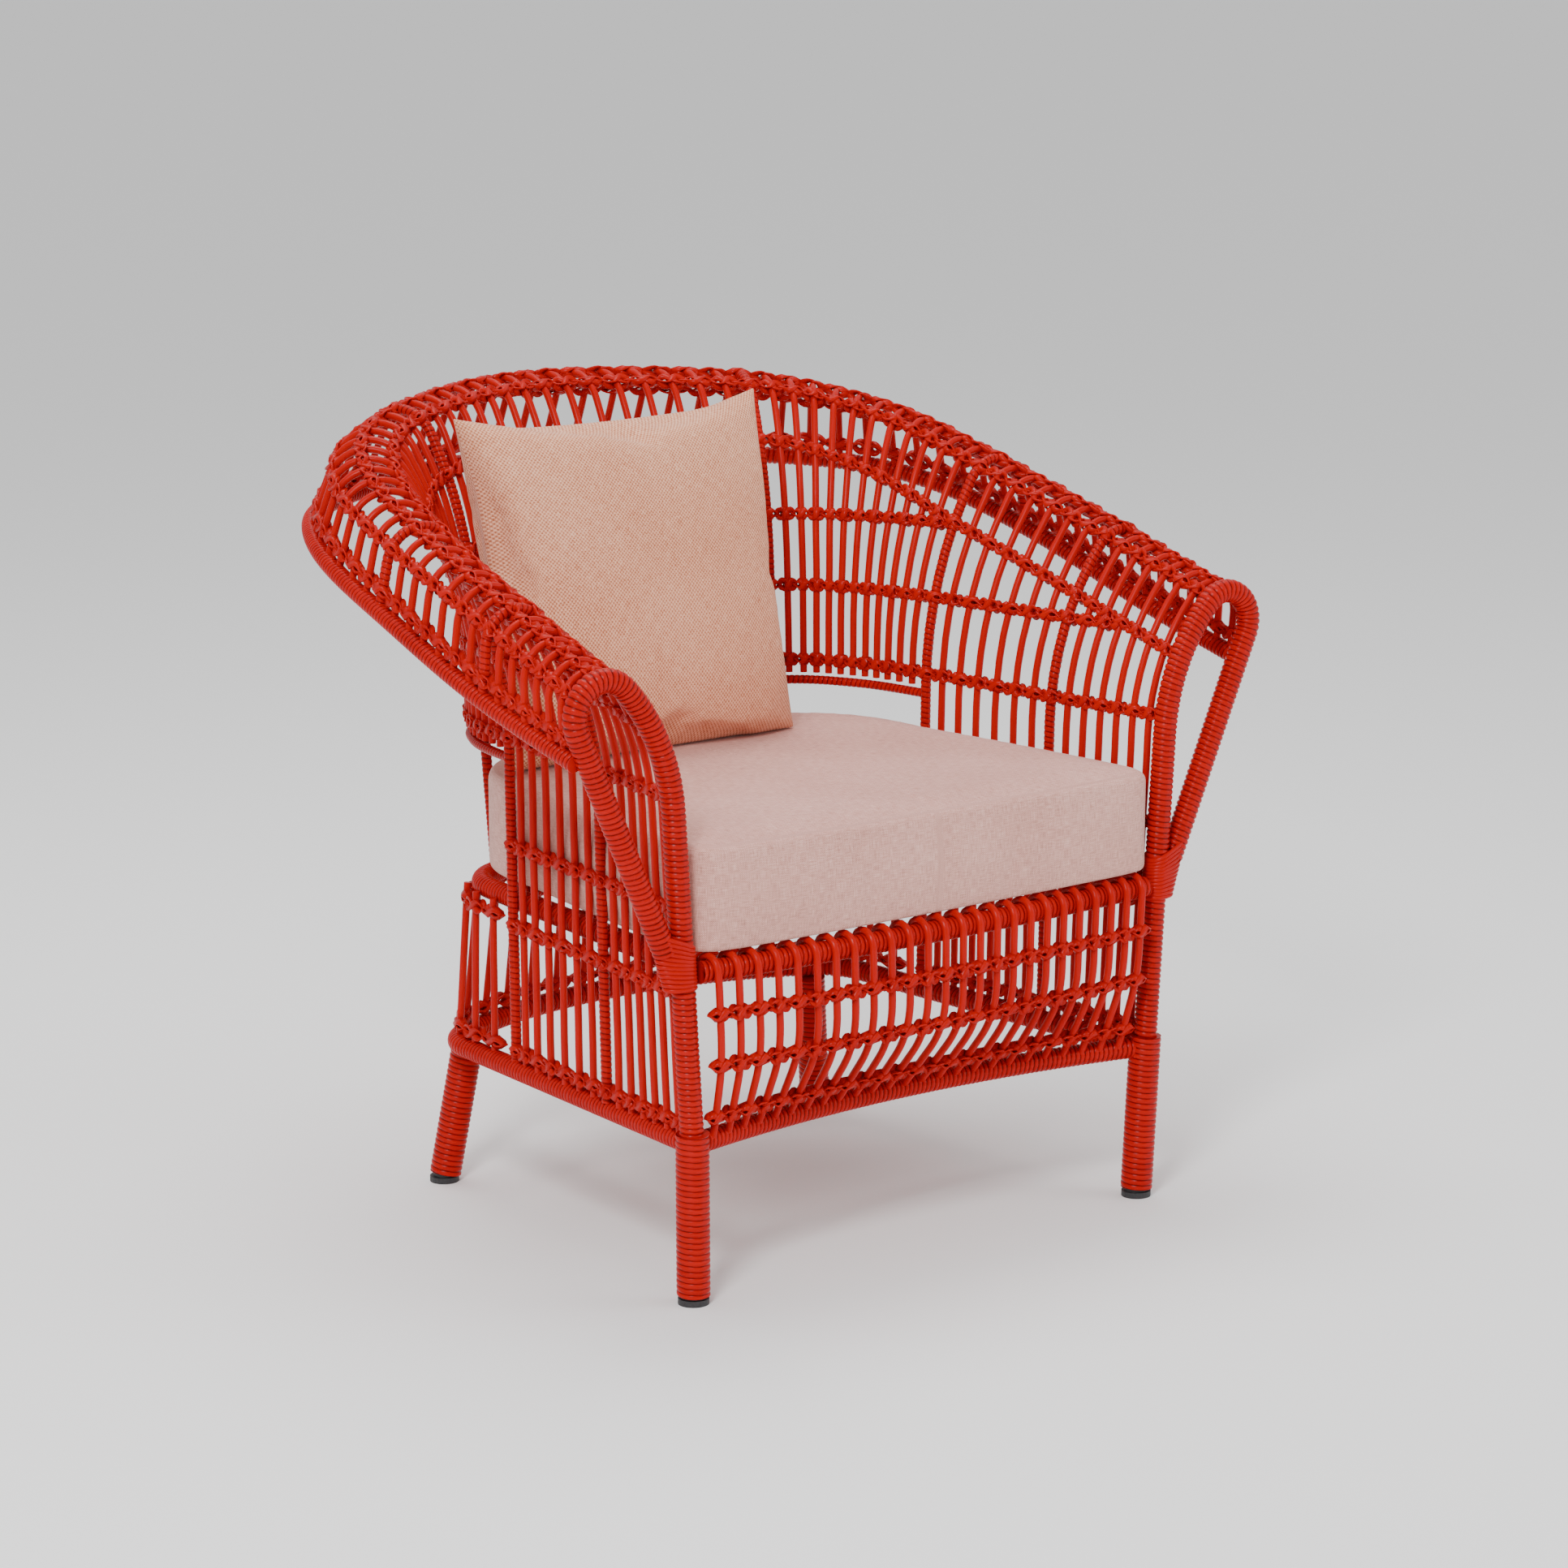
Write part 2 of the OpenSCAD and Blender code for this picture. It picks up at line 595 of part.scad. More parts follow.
module back_pillow_cover() {
    color([0.84, 0.67, 0.58])
    difference() {
        pillow_block(0);
        pillow_block(cover_t);
    }
}

module back_pillow_fill() color([0.95, 0.95, 0.95]) pillow_block(cover_t);

translate([0, -origin_y, 0]) {
leg_tube_front_left();
leg_tube_front_right();
leg_tube_rear_left();
leg_tube_rear_right();
leg_binding_front_left();
leg_binding_front_right();
leg_binding_rear_left();
leg_binding_rear_right();
foot_glides();
hoop_tube_left();
hoop_tube_right();
hoop_binding_left();
hoop_binding_right();
joint_wrap_left();
joint_wrap_right();
base_rail_back();
base_rail_front();
seat_rail_back();
seat_rail_front();
seat_cross_bars();
rim_rail();
back_lower_rail();
rib_arm_left();
rib_arm_right();
rib_corner_left();
rib_corner_right();
rib_back_left();
rib_back_right();
canes_arm_left();
canes_arm_right();
canes_back_left();
canes_back_right();
canes_back_middle();
canes_front_apron();
canes_rear_apron();
band_ridge();
band_crest();
band_roll_outer();
band_rim();
band_under_ridge();
band_back_upper();
band_back_middle();
band_belt();
bands_side_upper();
bands_side_seat();
bands_side_foot();
band_front_upper();
band_front_middle();
band_front_lower();
band_rear_upper();
band_rear_lower();
seat_cushion_cover();
seat_cushion_foam();
back_pillow_cover();
back_pillow_fill();
}
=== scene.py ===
import json
import math
import bpy
import numpy as np
from mathutils import Matrix, Vector

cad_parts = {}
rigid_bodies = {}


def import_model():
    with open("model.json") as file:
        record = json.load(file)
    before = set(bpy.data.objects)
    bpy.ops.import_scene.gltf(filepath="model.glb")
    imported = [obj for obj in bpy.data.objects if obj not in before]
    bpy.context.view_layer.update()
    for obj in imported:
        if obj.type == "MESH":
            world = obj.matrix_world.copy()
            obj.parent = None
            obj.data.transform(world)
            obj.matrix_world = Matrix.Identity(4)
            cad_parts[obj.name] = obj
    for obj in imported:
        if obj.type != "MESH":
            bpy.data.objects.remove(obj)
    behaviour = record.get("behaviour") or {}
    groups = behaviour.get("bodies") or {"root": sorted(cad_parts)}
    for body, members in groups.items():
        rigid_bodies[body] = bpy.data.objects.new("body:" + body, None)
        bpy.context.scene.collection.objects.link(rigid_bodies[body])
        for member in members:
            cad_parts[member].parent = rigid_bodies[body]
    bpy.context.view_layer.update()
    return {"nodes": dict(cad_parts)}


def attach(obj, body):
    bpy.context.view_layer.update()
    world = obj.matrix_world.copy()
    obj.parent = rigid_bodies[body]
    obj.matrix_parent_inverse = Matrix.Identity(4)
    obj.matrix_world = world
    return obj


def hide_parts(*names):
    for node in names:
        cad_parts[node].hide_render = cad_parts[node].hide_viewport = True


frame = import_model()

# ---------- Camera and light
# A plain pale studio: one camera at the chair's front left with a long lens, three big
# soft lights and a white surround. None of it is part of the chair.
cam_data = bpy.data.cameras.new("camera")
cam_data.lens = 110.5
cam_data.sensor_width = 36
cam = bpy.data.objects.new("camera", cam_data)
az, el = math.radians(-38.1), math.radians(12.2)
back = Vector((math.sin(az) * math.cos(el), -math.cos(az) * math.cos(el), math.sin(el)))
right = Vector((math.cos(az), math.sin(az), 0))
up = back.cross(right)
m = Matrix((right, up, back)).transposed().to_4x4()
m.translation = (-2.932, -3.868, 1.460)
cam.matrix_world = m
bpy.context.scene.collection.objects.link(cam)
bpy.context.scene.camera = cam


def area_light(name, place, aim, size, power, tint=(1, 1, 1)):
    d = bpy.data.lights.new(name, "AREA")
    d.shape = "DISK"
    d.size, d.energy, d.color = size, power, tint
    o = bpy.data.objects.new(name, d)
    o.location = place
    o.rotation_euler = (Vector(aim) - Vector(place)).to_track_quat("-Z", "Y").to_euler()
    bpy.context.scene.collection.objects.link(o)


area_light("key", (-2.6, -2.2, 3.0), (0, 0, .4), 1.0, 120)
area_light("fill", (2.6, -2.8, 1.6), (0, 0, .4), 2.0, 30)
area_light("top", (0.2, 0.8, 3.4), (0, 0, .4), 2.0, 60)
world = bpy.data.worlds.new("studio")
world.use_nodes = True
world.node_tree.nodes["Background"].inputs[0].default_value = (1, 1, 1, 1)
world.node_tree.nodes["Background"].inputs[1].default_value = 0.8
bpy.context.scene.world = world

# ---------- Wall shape
# The woven wall is one rule: a cane number runs from the arm front (0) to the middle of
# the back (34), and gives where the cane stands, how it leans, flares, rolls over and drops.
N1, N2, N4, N5 = 7, 14, 26, 34
ST = [0, N1, N2, (N2 + N4) / 2, N4, N5]
WALL_X = [309, 287, 268, 245, 188, 0]
WALL_Y = [-5, 145, 322, 417, 482, 546]
HEADING = [0, 0, 3, 34, 72, 90]
LEAN = [3.6, 1.3, 0.8, 3, 5, 9]
CREST = [620 + 182 * f for f in (0, 0.249, 0.545, 0.795, 0.955, 1)]
FLARE = [44, 40, 33, 31, 29, 31]
R_WALL = [200, 290, 400, 420, 420, 420]
R_ROLL = [33, 35, 39, 42, 44, 45]
ROLL_END = [186, 176, 168, 161, 155, 156]
RIM_DROP = [76, 83, 79, 80, 95, 98]
BELT = 470                  # height at which the wall stands on WALL_X, WALL_Y
RED_TUBE, CANE_R = 11, 3.8  # radii of bound rails and of canes
BASE_Z, SEAT_Z = 158, 328   # centres of the two rails
CANE_LOW = BASE_Z + RED_TUBE - 3
CUT_Z = BELT + 16           # cut lower ends of the canes of the back
ORIGIN_Y = 0.35186          # the frame's origin behind the front legs, in metres


def mix(t, i, flat=True):
    k = next((j for j in range(4) if i <= ST[j + 1]), 4)
    h = ST[k + 1] - ST[k]
    u = (i - ST[k]) / h

    def slope(j):
        if j == 0:
            return (t[1] - t[0]) / (ST[1] - ST[0])
        if j == 5:
            return 0 if flat else (t[5] - t[4]) / (ST[5] - ST[4])
        return (t[j + 1] - t[j - 1]) / (ST[j + 1] - ST[j - 1])
    a, b = slope(k) * h, slope(k + 1) * h
    return ((2*u**3 - 3*u*u + 1) * t[k] + (u**3 - 2*u*u + u) * a
            + (3*u*u - 2*u**3) * t[k + 1] + (u**3 - u*u) * b)


class Cane:
    def __init__(s, i, side=1):
        s.i, s.side = i, side
        s.x, s.y = mix(WALL_X, i, False), mix(WALL_Y, i)
        s.h = math.radians(mix(HEADING, i, False))
        s.lean, s.flare = math.radians(mix(LEAN, i)), math.radians(mix(FLARE, i))
        s.r1, s.r2 = mix(R_WALL, i), mix(R_ROLL, i)
        s.end = math.radians(mix(ROLL_END, i))
        s.crest = mix(CREST, i)
        s.zc = s.crest - s.r2
        s.rim = s.crest - mix(RIM_DROP, i)
        s.z1 = s.zc + s.r2 * math.sin(s.flare) - s.r1 * (math.sin(s.flare) - math.sin(s.lean))
        s.s1 = (s.z1 - BELT) * math.tan(s.lean)
        s.sc = s.s1 + s.r1 * (math.cos(s.lean) - math.cos(s.flare)) + s.r2 * math.cos(s.flare)

    def low(s, z):
        return (z - BELT) * math.tan(s.lean)

    def at(s, z):
        if z <= s.z1:
            return s.low(z)
        if z <= s.zc + s.r2 * math.sin(s.flare):
            t = math.asin((z - s.z1) / s.r1 + math.sin(s.lean))
            return s.s1 + s.r1 * (math.cos(s.lean) - math.cos(t))
        return s.sc - s.r2 * math.cos(math.asin(min(1, (z - s.zc) / s.r2)))

    def roll(s, t):
        return s.sc - s.r2 * math.cos(t), s.zc + s.r2 * math.sin(t)

    def drop(s, z):
        e = s.roll(s.end)
        return e[0] - (e[1] - z) / math.cos(s.end) * math.sin(s.end), z

    def space(s, p):
        return np.array((s.side * (s.x + p[0] * math.cos(s.h)), s.y + p[0] * math.sin(s.h), p[1])) / 1000

    def out(s, a):
        # unit vector off the cane's outer face where it runs at angle a from upright
        return np.array((s.side * math.cos(a) * math.cos(s.h), math.cos(a) * math.sin(s.h), -math.sin(a)))

    def along(s, a):
        return np.array((s.side * math.sin(a) * math.cos(s.h), math.sin(a) * math.sin(s.h), math.cos(a)))

    def path(s, z):
        p = [(s.low(z), z), (s.s1, s.z1)]
        cx, cz = s.s1 + s.r1 * math.cos(s.lean), s.z1 - s.r1 * math.sin(s.lean)
        for k in range(1, 9):
            t = s.lean + (s.flare - s.lean) * k / 8
            p.append((cx - s.r1 * math.cos(t), cz + s.r1 * math.sin(t)))
        for k in range(1, 17):
            p.append(s.roll(s.flare + (s.end - s.flare) * k / 16))
        p.append(s.drop(s.rim))
        return [s.space(q) for q in p]


# ---------- Plastics
# Red extruded plastic: satin, with fine streaks along the strip and a little drift of
# colour from turn to turn; shade is painted dark into the grooves between turns. Glides are black plastic.
def nodes_of(name):
    mat = bpy.data.materials.new(name)
    mat.use_nodes = True
    nt = mat.node_tree
    return mat, nt, nt.nodes["Principled BSDF"]


def add(nt, kind, ins=None, **props):
    n = nt.nodes.new(kind)
    for k, v in props.items():
        setattr(n, k, v)
    for k, v in (ins or {}).items():
        if isinstance(v, bpy.types.NodeSocket):
            nt.links.new(v, n.inputs[k])
        else:
            n.inputs[k].default_value = v
    return n


def calc(nt, op, *args):
    return add(nt, "ShaderNodeMath", dict(enumerate(args)), operation=op).outputs[0]


def noise_of(nt, where, scale, detail=2.0):
    return add(nt, "ShaderNodeTexNoise", {"Vector": where, "Scale": scale, "Detail": detail}).outputs[0]


def bump_on(nt, b, strength, distance, height):
    n = add(nt, "ShaderNodeBump", {"Strength": strength, "Distance": distance, "Height": height})
    nt.links.new(n.outputs[0], b.inputs["Normal"])


def ramp(nt, fac, stops):
    n = add(nt, "ShaderNodeValToRGB", {0: fac})
    e = n.color_ramp.elements
    while len(e) < len(stops):
        e.new(0.5)
    for k, (p, c) in enumerate(stops):
        e[k].position, e[k].color = p, (*c, 1)
    return n.outputs[0]


def red_plastic(name, deep, mid, pale, rough, wound):
    """Reads the attributes that the trees below leave on every strip and cane."""
    mat, nt, b = nodes_of(name)
    co = add(nt, "ShaderNodeTexCoord").outputs["Object"]
    ln, ang, turn, groove = [add(nt, "ShaderNodeAttribute", attribute_name=k).outputs["Fac"]
                             for k in ("len", "ang", "turn", "groove")]
    # streaks run round a wound tube and along a cane
    round_it, along_it = (3.0, 1500.0) if wound else (14.0, 18.0)
    v = add(nt, "ShaderNodeCombineXYZ", {0: calc(nt, "MULTIPLY", ang, round_it),
                                         1: calc(nt, "MULTIPLY", ln, along_it)}).outputs[0]
    streak = noise_of(nt, v, 1.6, 3.0)
    drift = noise_of(nt, co, 9.0)
    by_turn = add(nt, "ShaderNodeTexWhiteNoise", {"W": turn}, noise_dimensions="1D").outputs[0]
    s = calc(nt, "MULTIPLY_ADD", streak, 0.45, 0.18)
    s = calc(nt, "MULTIPLY_ADD", drift, 0.3, s)
    s = calc(nt, "MULTIPLY_ADD", by_turn, 0.14, s)
    # painted shade: the base colour goes dark near each turn's edges, in the grooves between turns
    s = calc(nt, "MULTIPLY_ADD", calc(nt, "POWER", groove, 5.0), -0.8, s)
    nt.links.new(ramp(nt, s, [(0.1, deep), (0.5, mid), (0.85, pale)]), b.inputs["Base Color"])
    nt.links.new(calc(nt, "MULTIPLY_ADD", streak, 0.25, rough - 0.1), b.inputs["Roughness"])
    bump_on(nt, b, 0.25, 0.0004, streak)
    b.inputs["Specular IOR Level"].default_value = 0.11
    return mat


# DEEP is the colour of the painted groove shade as well as of the darkest streaks
DEEP, MID, PALE = (0.07, 0.0003, 0.0002), (0.38, 0.0010, 0.0003), (0.52, 0.005, 0.002)
RED_BOUND = red_plastic("red_binding", DEEP, MID, PALE, 0.27, True)
RED_CANE = red_plastic("red_cane", DEEP, MID, PALE, 0.28, False)
RED_STRIP = red_plastic("red_strip", DEEP, MID, PALE, 0.27, False)

black, nt, b = nodes_of("black_plastic")
grain = noise_of(nt, add(nt, "ShaderNodeTexCoord").outputs["Object"], 900.0)
shade = ramp(nt, grain, [(0.3, (0.012, 0.012, 0.013)), (0.7, (0.03, 0.03, 0.032))])
nt.links.new(shade, b.inputs["Base Color"])
bump_on(nt, b, 0.2, 0.0002, grain)
b.inputs["Roughness"].default_value = 0.55
frame["nodes"]["foot_glides"].data.materials.clear()
frame["nodes"]["foot_glides"].data.materials.append(black)


# ---------- Bound tubes
# Every tube is wound with a flat strip, one shallow scallop a turn. A tree resamples the
# tube's path, sweeps a ring along it and pushes the skin in between the turns of a helix.
class Tree:
    def __init__(s, name, **sizes):
        s.g = bpy.data.node_groups.new(name, "GeometryNodeTree")
        f = s.g.interface
        f.new_socket("Geometry", in_out="INPUT", socket_type="NodeSocketGeometry")
        s.ids = {}
        for k, v in sizes.items():
            sock = f.new_socket(k, in_out="INPUT", socket_type="NodeSocketFloat")
            sock.default_value = v
            s.ids[k] = sock.identifier
        sock = f.new_socket("Material", in_out="INPUT", socket_type="NodeSocketMaterial")
        s.ids["Material"] = sock.identifier
        f.new_socket("Geometry", in_out="OUTPUT", socket_type="NodeSocketGeometry")
        s.inp = s.g.nodes.new("NodeGroupInput").outputs
        s.out = s.g.nodes.new("NodeGroupOutput").inputs

    def n(s, kind, ins=None, **props):
        return add(s.g, "GeometryNode" + kind, ins, **props).outputs

    def m(s, op, *args):
        return calc(s.g, op, *args)

    def v(s, op, *args):
        n = add(s.g, "ShaderNodeVectorMath", dict(enumerate(args)), operation=op)
        return n.outputs[1] if op in ("DOT_PRODUCT", "LENGTH") else n.outputs[0]

    def scale(s, vec, f):
        return add(s.g, "ShaderNodeVectorMath", {0: vec, "Scale": f}, operation="SCALE").outputs[0]

    def store(s, geo, name, val, dom="POINT"):
        ins = {"Geometry": geo, "Name": name, "Value": val}
        return s.n("StoreNamedAttribute", ins, data_type="FLOAT", domain=dom)[0]

    def read(s, name, kind="FLOAT"):
        return s.n("InputNamedAttribute", {"Name": name}, data_type=kind)[0]

    def finish(s, geo):
        geo = s.n("SetShadeSmooth", {"Geometry": geo})[0]
        geo = s.n("RealizeInstances", {"Geometry": geo})[0]
        geo = s.n("SetMaterial", {"Geometry": geo, "Material": s.inp["Material"]})[0]
        s.g.links.new(geo, s.out[0])


def grow(tree, name, paths, node, mat, body="frame", slot="red_binding", attrs=None, **sizes):
    """Runs a tree over polylines and leaves one plain mesh that stands for CAD nodes."""
    verts, edges = [], []
    for p in paths:
        o = len(verts)
        verts += [(q[0], q[1] - ORIGIN_Y, q[2]) for q in p]
        edges += [(o + k, o + k + 1) for k in range(len(p) - 1)]
    me = bpy.data.meshes.new(name + "_path")
    me.from_pydata(verts, edges, [])
    for k, (kind, data) in (attrs or {}).items():
        a = me.attributes.new(k, kind, "POINT")
        part = "vector" if kind == "FLOAT_VECTOR" else "value"
        a.data.foreach_set(part, np.asarray(data, dtype=np.float32).ravel())
    src = bpy.data.objects.new(name + "_src", me)
    bpy.context.scene.collection.objects.link(src)
    mod = src.modifiers.new("grow", "NODES")
    mod.node_group = tree.g
    for k, v in sizes.items():
        mod[tree.ids[k]] = v
    mod[tree.ids["Material"]] = mat
    deps = bpy.context.evaluated_depsgraph_get()
    out = bpy.data.meshes.new_from_object(src.evaluated_get(deps))
    bpy.data.objects.remove(src)
    out.name = name
    o = bpy.data.objects.new(name, out)
    bpy.context.scene.collection.objects.link(o)
    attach(o, body)
    if node:
        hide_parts(*([node] if isinstance(node, str) else node))
    return o


bound = Tree("bound_tube", Radius=0.011, Pitch=0.0056, Depth=0.0021, Sides=20.0, Hand=1.0)
i_ = bound.inp
crv = bound.n("MeshToCurve", {0: i_["Geometry"]})[0]
step = bound.m("DIVIDE", i_["Pitch"], 8.0)
crv = bound.n("ResampleCurve", {"Curve": crv, "Length": step}, mode="LENGTH")[0]
crv = bound.store(crv, "len", bound.n("SplineParameter")[1])
ring = bound.n("CurvePrimitiveCircle", {"Resolution": i_["Sides"], "Radius": i_["Radius"]})[0]
ring = bound.store(ring, "ang", bound.n("SplineParameter")[0])
skin = bound.n("CurveToMesh", {"Curve": crv, "Profile Curve": ring, "Fill Caps": True})[0]
turns = bound.m("DIVIDE", bound.read("len"), i_["Pitch"])
phase = bound.m("ADD", turns, bound.m("MULTIPLY", bound.read("ang"), i_["Hand"]))
x = bound.m("ABSOLUTE", bound.m("SUBTRACT", bound.m("MULTIPLY", bound.m("FRACT", phase), 2.0), 1.0))
skin = bound.store(skin, "turn", bound.m("FLOOR", phase))
# groove runs from 0 mid-turn to 1 at a turn's edges; the red plastic paints shade into the grooves with it
skin = bound.store(skin, "groove", x)
# each turn is round across its width: full in the middle, Depth lower at its edges
rest = bound.m("SUBTRACT", 1.0, bound.m("MULTIPLY", bound.m("MULTIPLY", x, x), 0.97))
push = bound.m("MULTIPLY", bound.m("SUBTRACT", bound.m("SQRT", rest), 1.0), i_["Depth"])
skin = bound.n("SetPosition", {"Geometry": skin, "Offset": bound.scale(bound.n("InputNormal")[0], push)})[0]
bound.finish(skin)


def mm(*pts):
    return [np.array(p) / 1000 for p in pts]


def mirrored(path):
    return [q * (-1, 1, 1) for q in path]


def both_halves(half):
    """A path from the right side that ends in the middle, run on to the left side."""
    return half[:-1] + mirrored(half)[::-1]


SIDES = ((1, "right"), (-1, "left"))


# legs: thicker tube, bound from the glide up to the base rail, in front over the joint
hoop = Cane(0)
FR_FOOT, FR_TOP = np.array((285, 0, 0)), np.array((hoop.x + hoop.low(BASE_Z), hoop.y, BASE_Z))
RR_FOOT, RR_TOP = np.array((246, 482, 0)), np.array((224, 464, BASE_Z))
SLEEVE_LOW = 9
for name, foot, top, z_top in (("front", FR_FOOT, FR_TOP, 171), ("rear", RR_FOOT, RR_TOP, 147)):
    ends = [foot + (top - foot) * z / BASE_Z for z in (SLEEVE_LOW, z_top)]
    for side, tag in SIDES:
        leg = "%s_%s" % (name, tag)
        grow(bound, "bound_leg_" + leg, [[q * (side, 1, 1) / 1000 for q in ends]],
             ["leg_binding_" + leg, "leg_tube_" + leg], RED_BOUND,
             Radius=0.0165, Pitch=0.0058, Depth=0.0018, Sides=28.0)

# arm hoops: upright, flare, tight bend and outer leg coming back to the upright
HOOP_END = math.radians(204)
HOOP_LOW, OUTER_LOW = 147, 352
p = [(hoop.low(HOOP_LOW), HOOP_LOW), (hoop.s1, hoop.z1)]
cx, cz = hoop.s1 + hoop.r1 * math.cos(hoop.lean), hoop.z1 - hoop.r1 * math.sin(hoop.lean)
for t in np.linspace(hoop.lean, hoop.flare, 10)[1:]:
    p.append((cx - hoop.r1 * math.cos(t), cz + hoop.r1 * math.sin(t)))
p += [hoop.roll(t) for t in np.linspace(hoop.flare, HOOP_END, 22)[1:]]
e = hoop.roll(HOOP_END)
p.append((e[0] - (e[1] - OUTER_LOW) * math.tan(HOOP_END - math.pi), OUTER_LOW))
path = [hoop.space(q) for q in p]
for side, tag in SIDES:
    grow(bound, "bound_hoop_" + tag, [path if side > 0 else mirrored(path)],
         ["hoop_binding_" + tag, "hoop_tube_" + tag], RED_BOUND, Radius=0.012, Sides=24.0)


# base and seat rails: a level ring of side lines, corner bends and a back arc
def ring_parts(x0, y0, deg, rc, rk, yb, n=40):
    q = math.radians(deg)
    u = np.array((x0 - rc * math.cos(q), y0 - rc * math.sin(q) - (yb - rk)))
    d = np.array((-math.sin(q), math.cos(q)))
    ud = u @ d
    c = u + (-ud + math.sqrt(ud * ud - u @ u + (rk - rc) ** 2)) * d + (0, yb - rk)
    a = math.atan2(c[1] - yb + rk, c[0])
    pts = [(x0, y0)]
    pts += [(c[0] + rc * math.cos(t), c[1] + rc * math.sin(t)) for t in np.linspace(q, a, 12)]
    pts += [(rk * math.cos(t), yb - rk + rk * math.sin(t)) for t in np.linspace(a, math.pi / 2, n // 2)[1:]]
    return np.array(pts)


BASE_RING = ring_parts(285, 0, 3.76, 60, 507, 523)
SEAT_RING = ring_parts(280, 6, 5.4, 70, 480, 495)
for name, pts, z in (("base", BASE_RING, BASE_Z), ("seat", SEAT_RING, SEAT_Z)):
    half = [np.array((x, y, z)) / 1000 for x, y in pts]
    grow(bound, "bound_%s_rail" % name, [both_halves(half)], name + "_rail_back", RED_BOUND,
         Radius=RED_TUBE / 1000)

# front rails: half their length, and for each its y at the ends and how far it bows
RAIL_HALF = 283
BASE_BOW, SEAT_BOW = (0, 32), (-8, -14)


def bow_y(x, bow):
    return bow[0] + bow[1] * (1 - (x / RAIL_HALF) ** 2)


for name, bow, z in (("base", BASE_BOW, BASE_Z), ("seat", SEAT_BOW, SEAT_Z)):
    pts = [np.array((x, bow_y(x, bow), z)) / 1000 for x in np.linspace(-RAIL_HALF, RAIL_HALF, 41)]
    grow(bound, "bound_%s_front" % name, [pts], name + "_rail_front", RED_BOUND, Radius=RED_TUBE / 1000)
bars = []
for y in (110, 230, 350):
    x = SEAT_RING[0][0] - (y - SEAT_RING[0][1]) * math.tan(math.radians(5.4))
    bars.append(mm((-x, y, SEAT_Z + 3), (x, y, SEAT_Z + 3)))
grow(bound, "bound_seat_bars", bars, "seat_cross_bars", RED_BOUND, Radius=0.007, Sides=14.0)


def round_back(f, a, n=80):
    return both_halves([f(i) for i in np.linspace(a, N5, n)])


def on_rim(i):
    c = Cane(i)
    return c.space(c.drop(c.rim))


def on_wall(z):
    def f(i):
        c = Cane(i)
        return c.space((c.at(z), z))
    return f


grow(bound, "bound_rim_rail", [round_back(on_rim, 0.2)], "rim_rail", RED_BOUND, Radius=0.0095, Sides=18.0)
grow(bound, "bound_lower_rail", [round_back(on_wall(BELT + 8), N2)], "back_lower_rail", RED_BOUND,
     Radius=0.005, Sides=12.0, Depth=0.0008)
for i, name, z in ((N1, "arm", CANE_LOW), (N2, "corner", CANE_LOW), (N4, "back", SEAT_Z)):
    for side, tag in SIDES:
        rib = "rib_%s_%s" % (name, tag)
        grow(bound, "bound_" + rib, [Cane(i, side).path(z)], rib, RED_BOUND,
             Radius=0.0056, Sides=14.0, Depth=0.0009)

# ---------- Canes
# Round extruded plastic canes, each a little uneven, bent over the roll and cut square.
# A tree resamples each path, nudges it with slow noise and sweeps a ten-sided ring.
cane = Tree("cane", Radius=CANE_R / 1000, Step=0.006, Wobble=0.0012)
i_ = cane.inp
crv = cane.n("MeshToCurve", {0: i_["Geometry"]})[0]
crv = cane.n("ResampleCurve", {"Curve": crv, "Length": i_["Step"]}, mode="LENGTH")[0]
noise = add(cane.g, "ShaderNodeTexNoise", {"Vector": cane.n("InputPosition")[0], "Scale": 14.0, "Detail": 0.0})
nudge = cane.scale(cane.v("SUBTRACT", noise.outputs[1], (0.5, 0.5, 0.5)), i_["Wobble"])
crv = cane.n("SetPosition", {"Geometry": crv, "Offset": nudge})[0]
crv = cane.store(crv, "len", cane.n("SplineParameter")[1])
ring = cane.n("CurvePrimitiveCircle", {"Resolution": 10, "Radius": i_["Radius"]})[0]
ring = cane.store(ring, "ang", cane.n("SplineParameter")[0])
skin = cane.n("CurveToMesh", {"Curve": crv, "Profile Curve": ring, "Fill Caps": True})[0]
cane.finish(skin)


def grow_canes(node, paths):
    grow(cane, node.replace("_apron", "") + "_round", paths, node, RED_CANE, slot="red_cane")


def wall_canes(numbers, side, low):
    return [Cane(i, side).path(low) for i in numbers]


arm = [i for i in range(1, N2) if i != N1]
for side, tag in SIDES:
    grow_canes("canes_arm_" + tag, wall_canes(arm, side, CANE_LOW))
    grow_canes("canes_back_" + tag, wall_canes(range(N2 + 1, N4), side, CUT_Z))
mid = wall_canes(range(N4 + 1, N5 + 1), 1, CUT_Z) + wall_canes(range(N4 + 1, N5), -1, CUT_Z)
grow_canes("canes_back_middle", mid)

# front canes loop over the seat rail, run down and lean back under to the base rail
FRONT_COUNT, FRONT_ENDS, FRONT_LEAN = 25, (-272, 265), 3
FRONT_X = np.linspace(*FRONT_ENDS, FRONT_COUNT)
FRONT_R, KNEE_Z, FRONT_LOW = RED_TUBE + CANE_R, BASE_Z + 112, BASE_Z + 4
LOOP_POINTS = 15


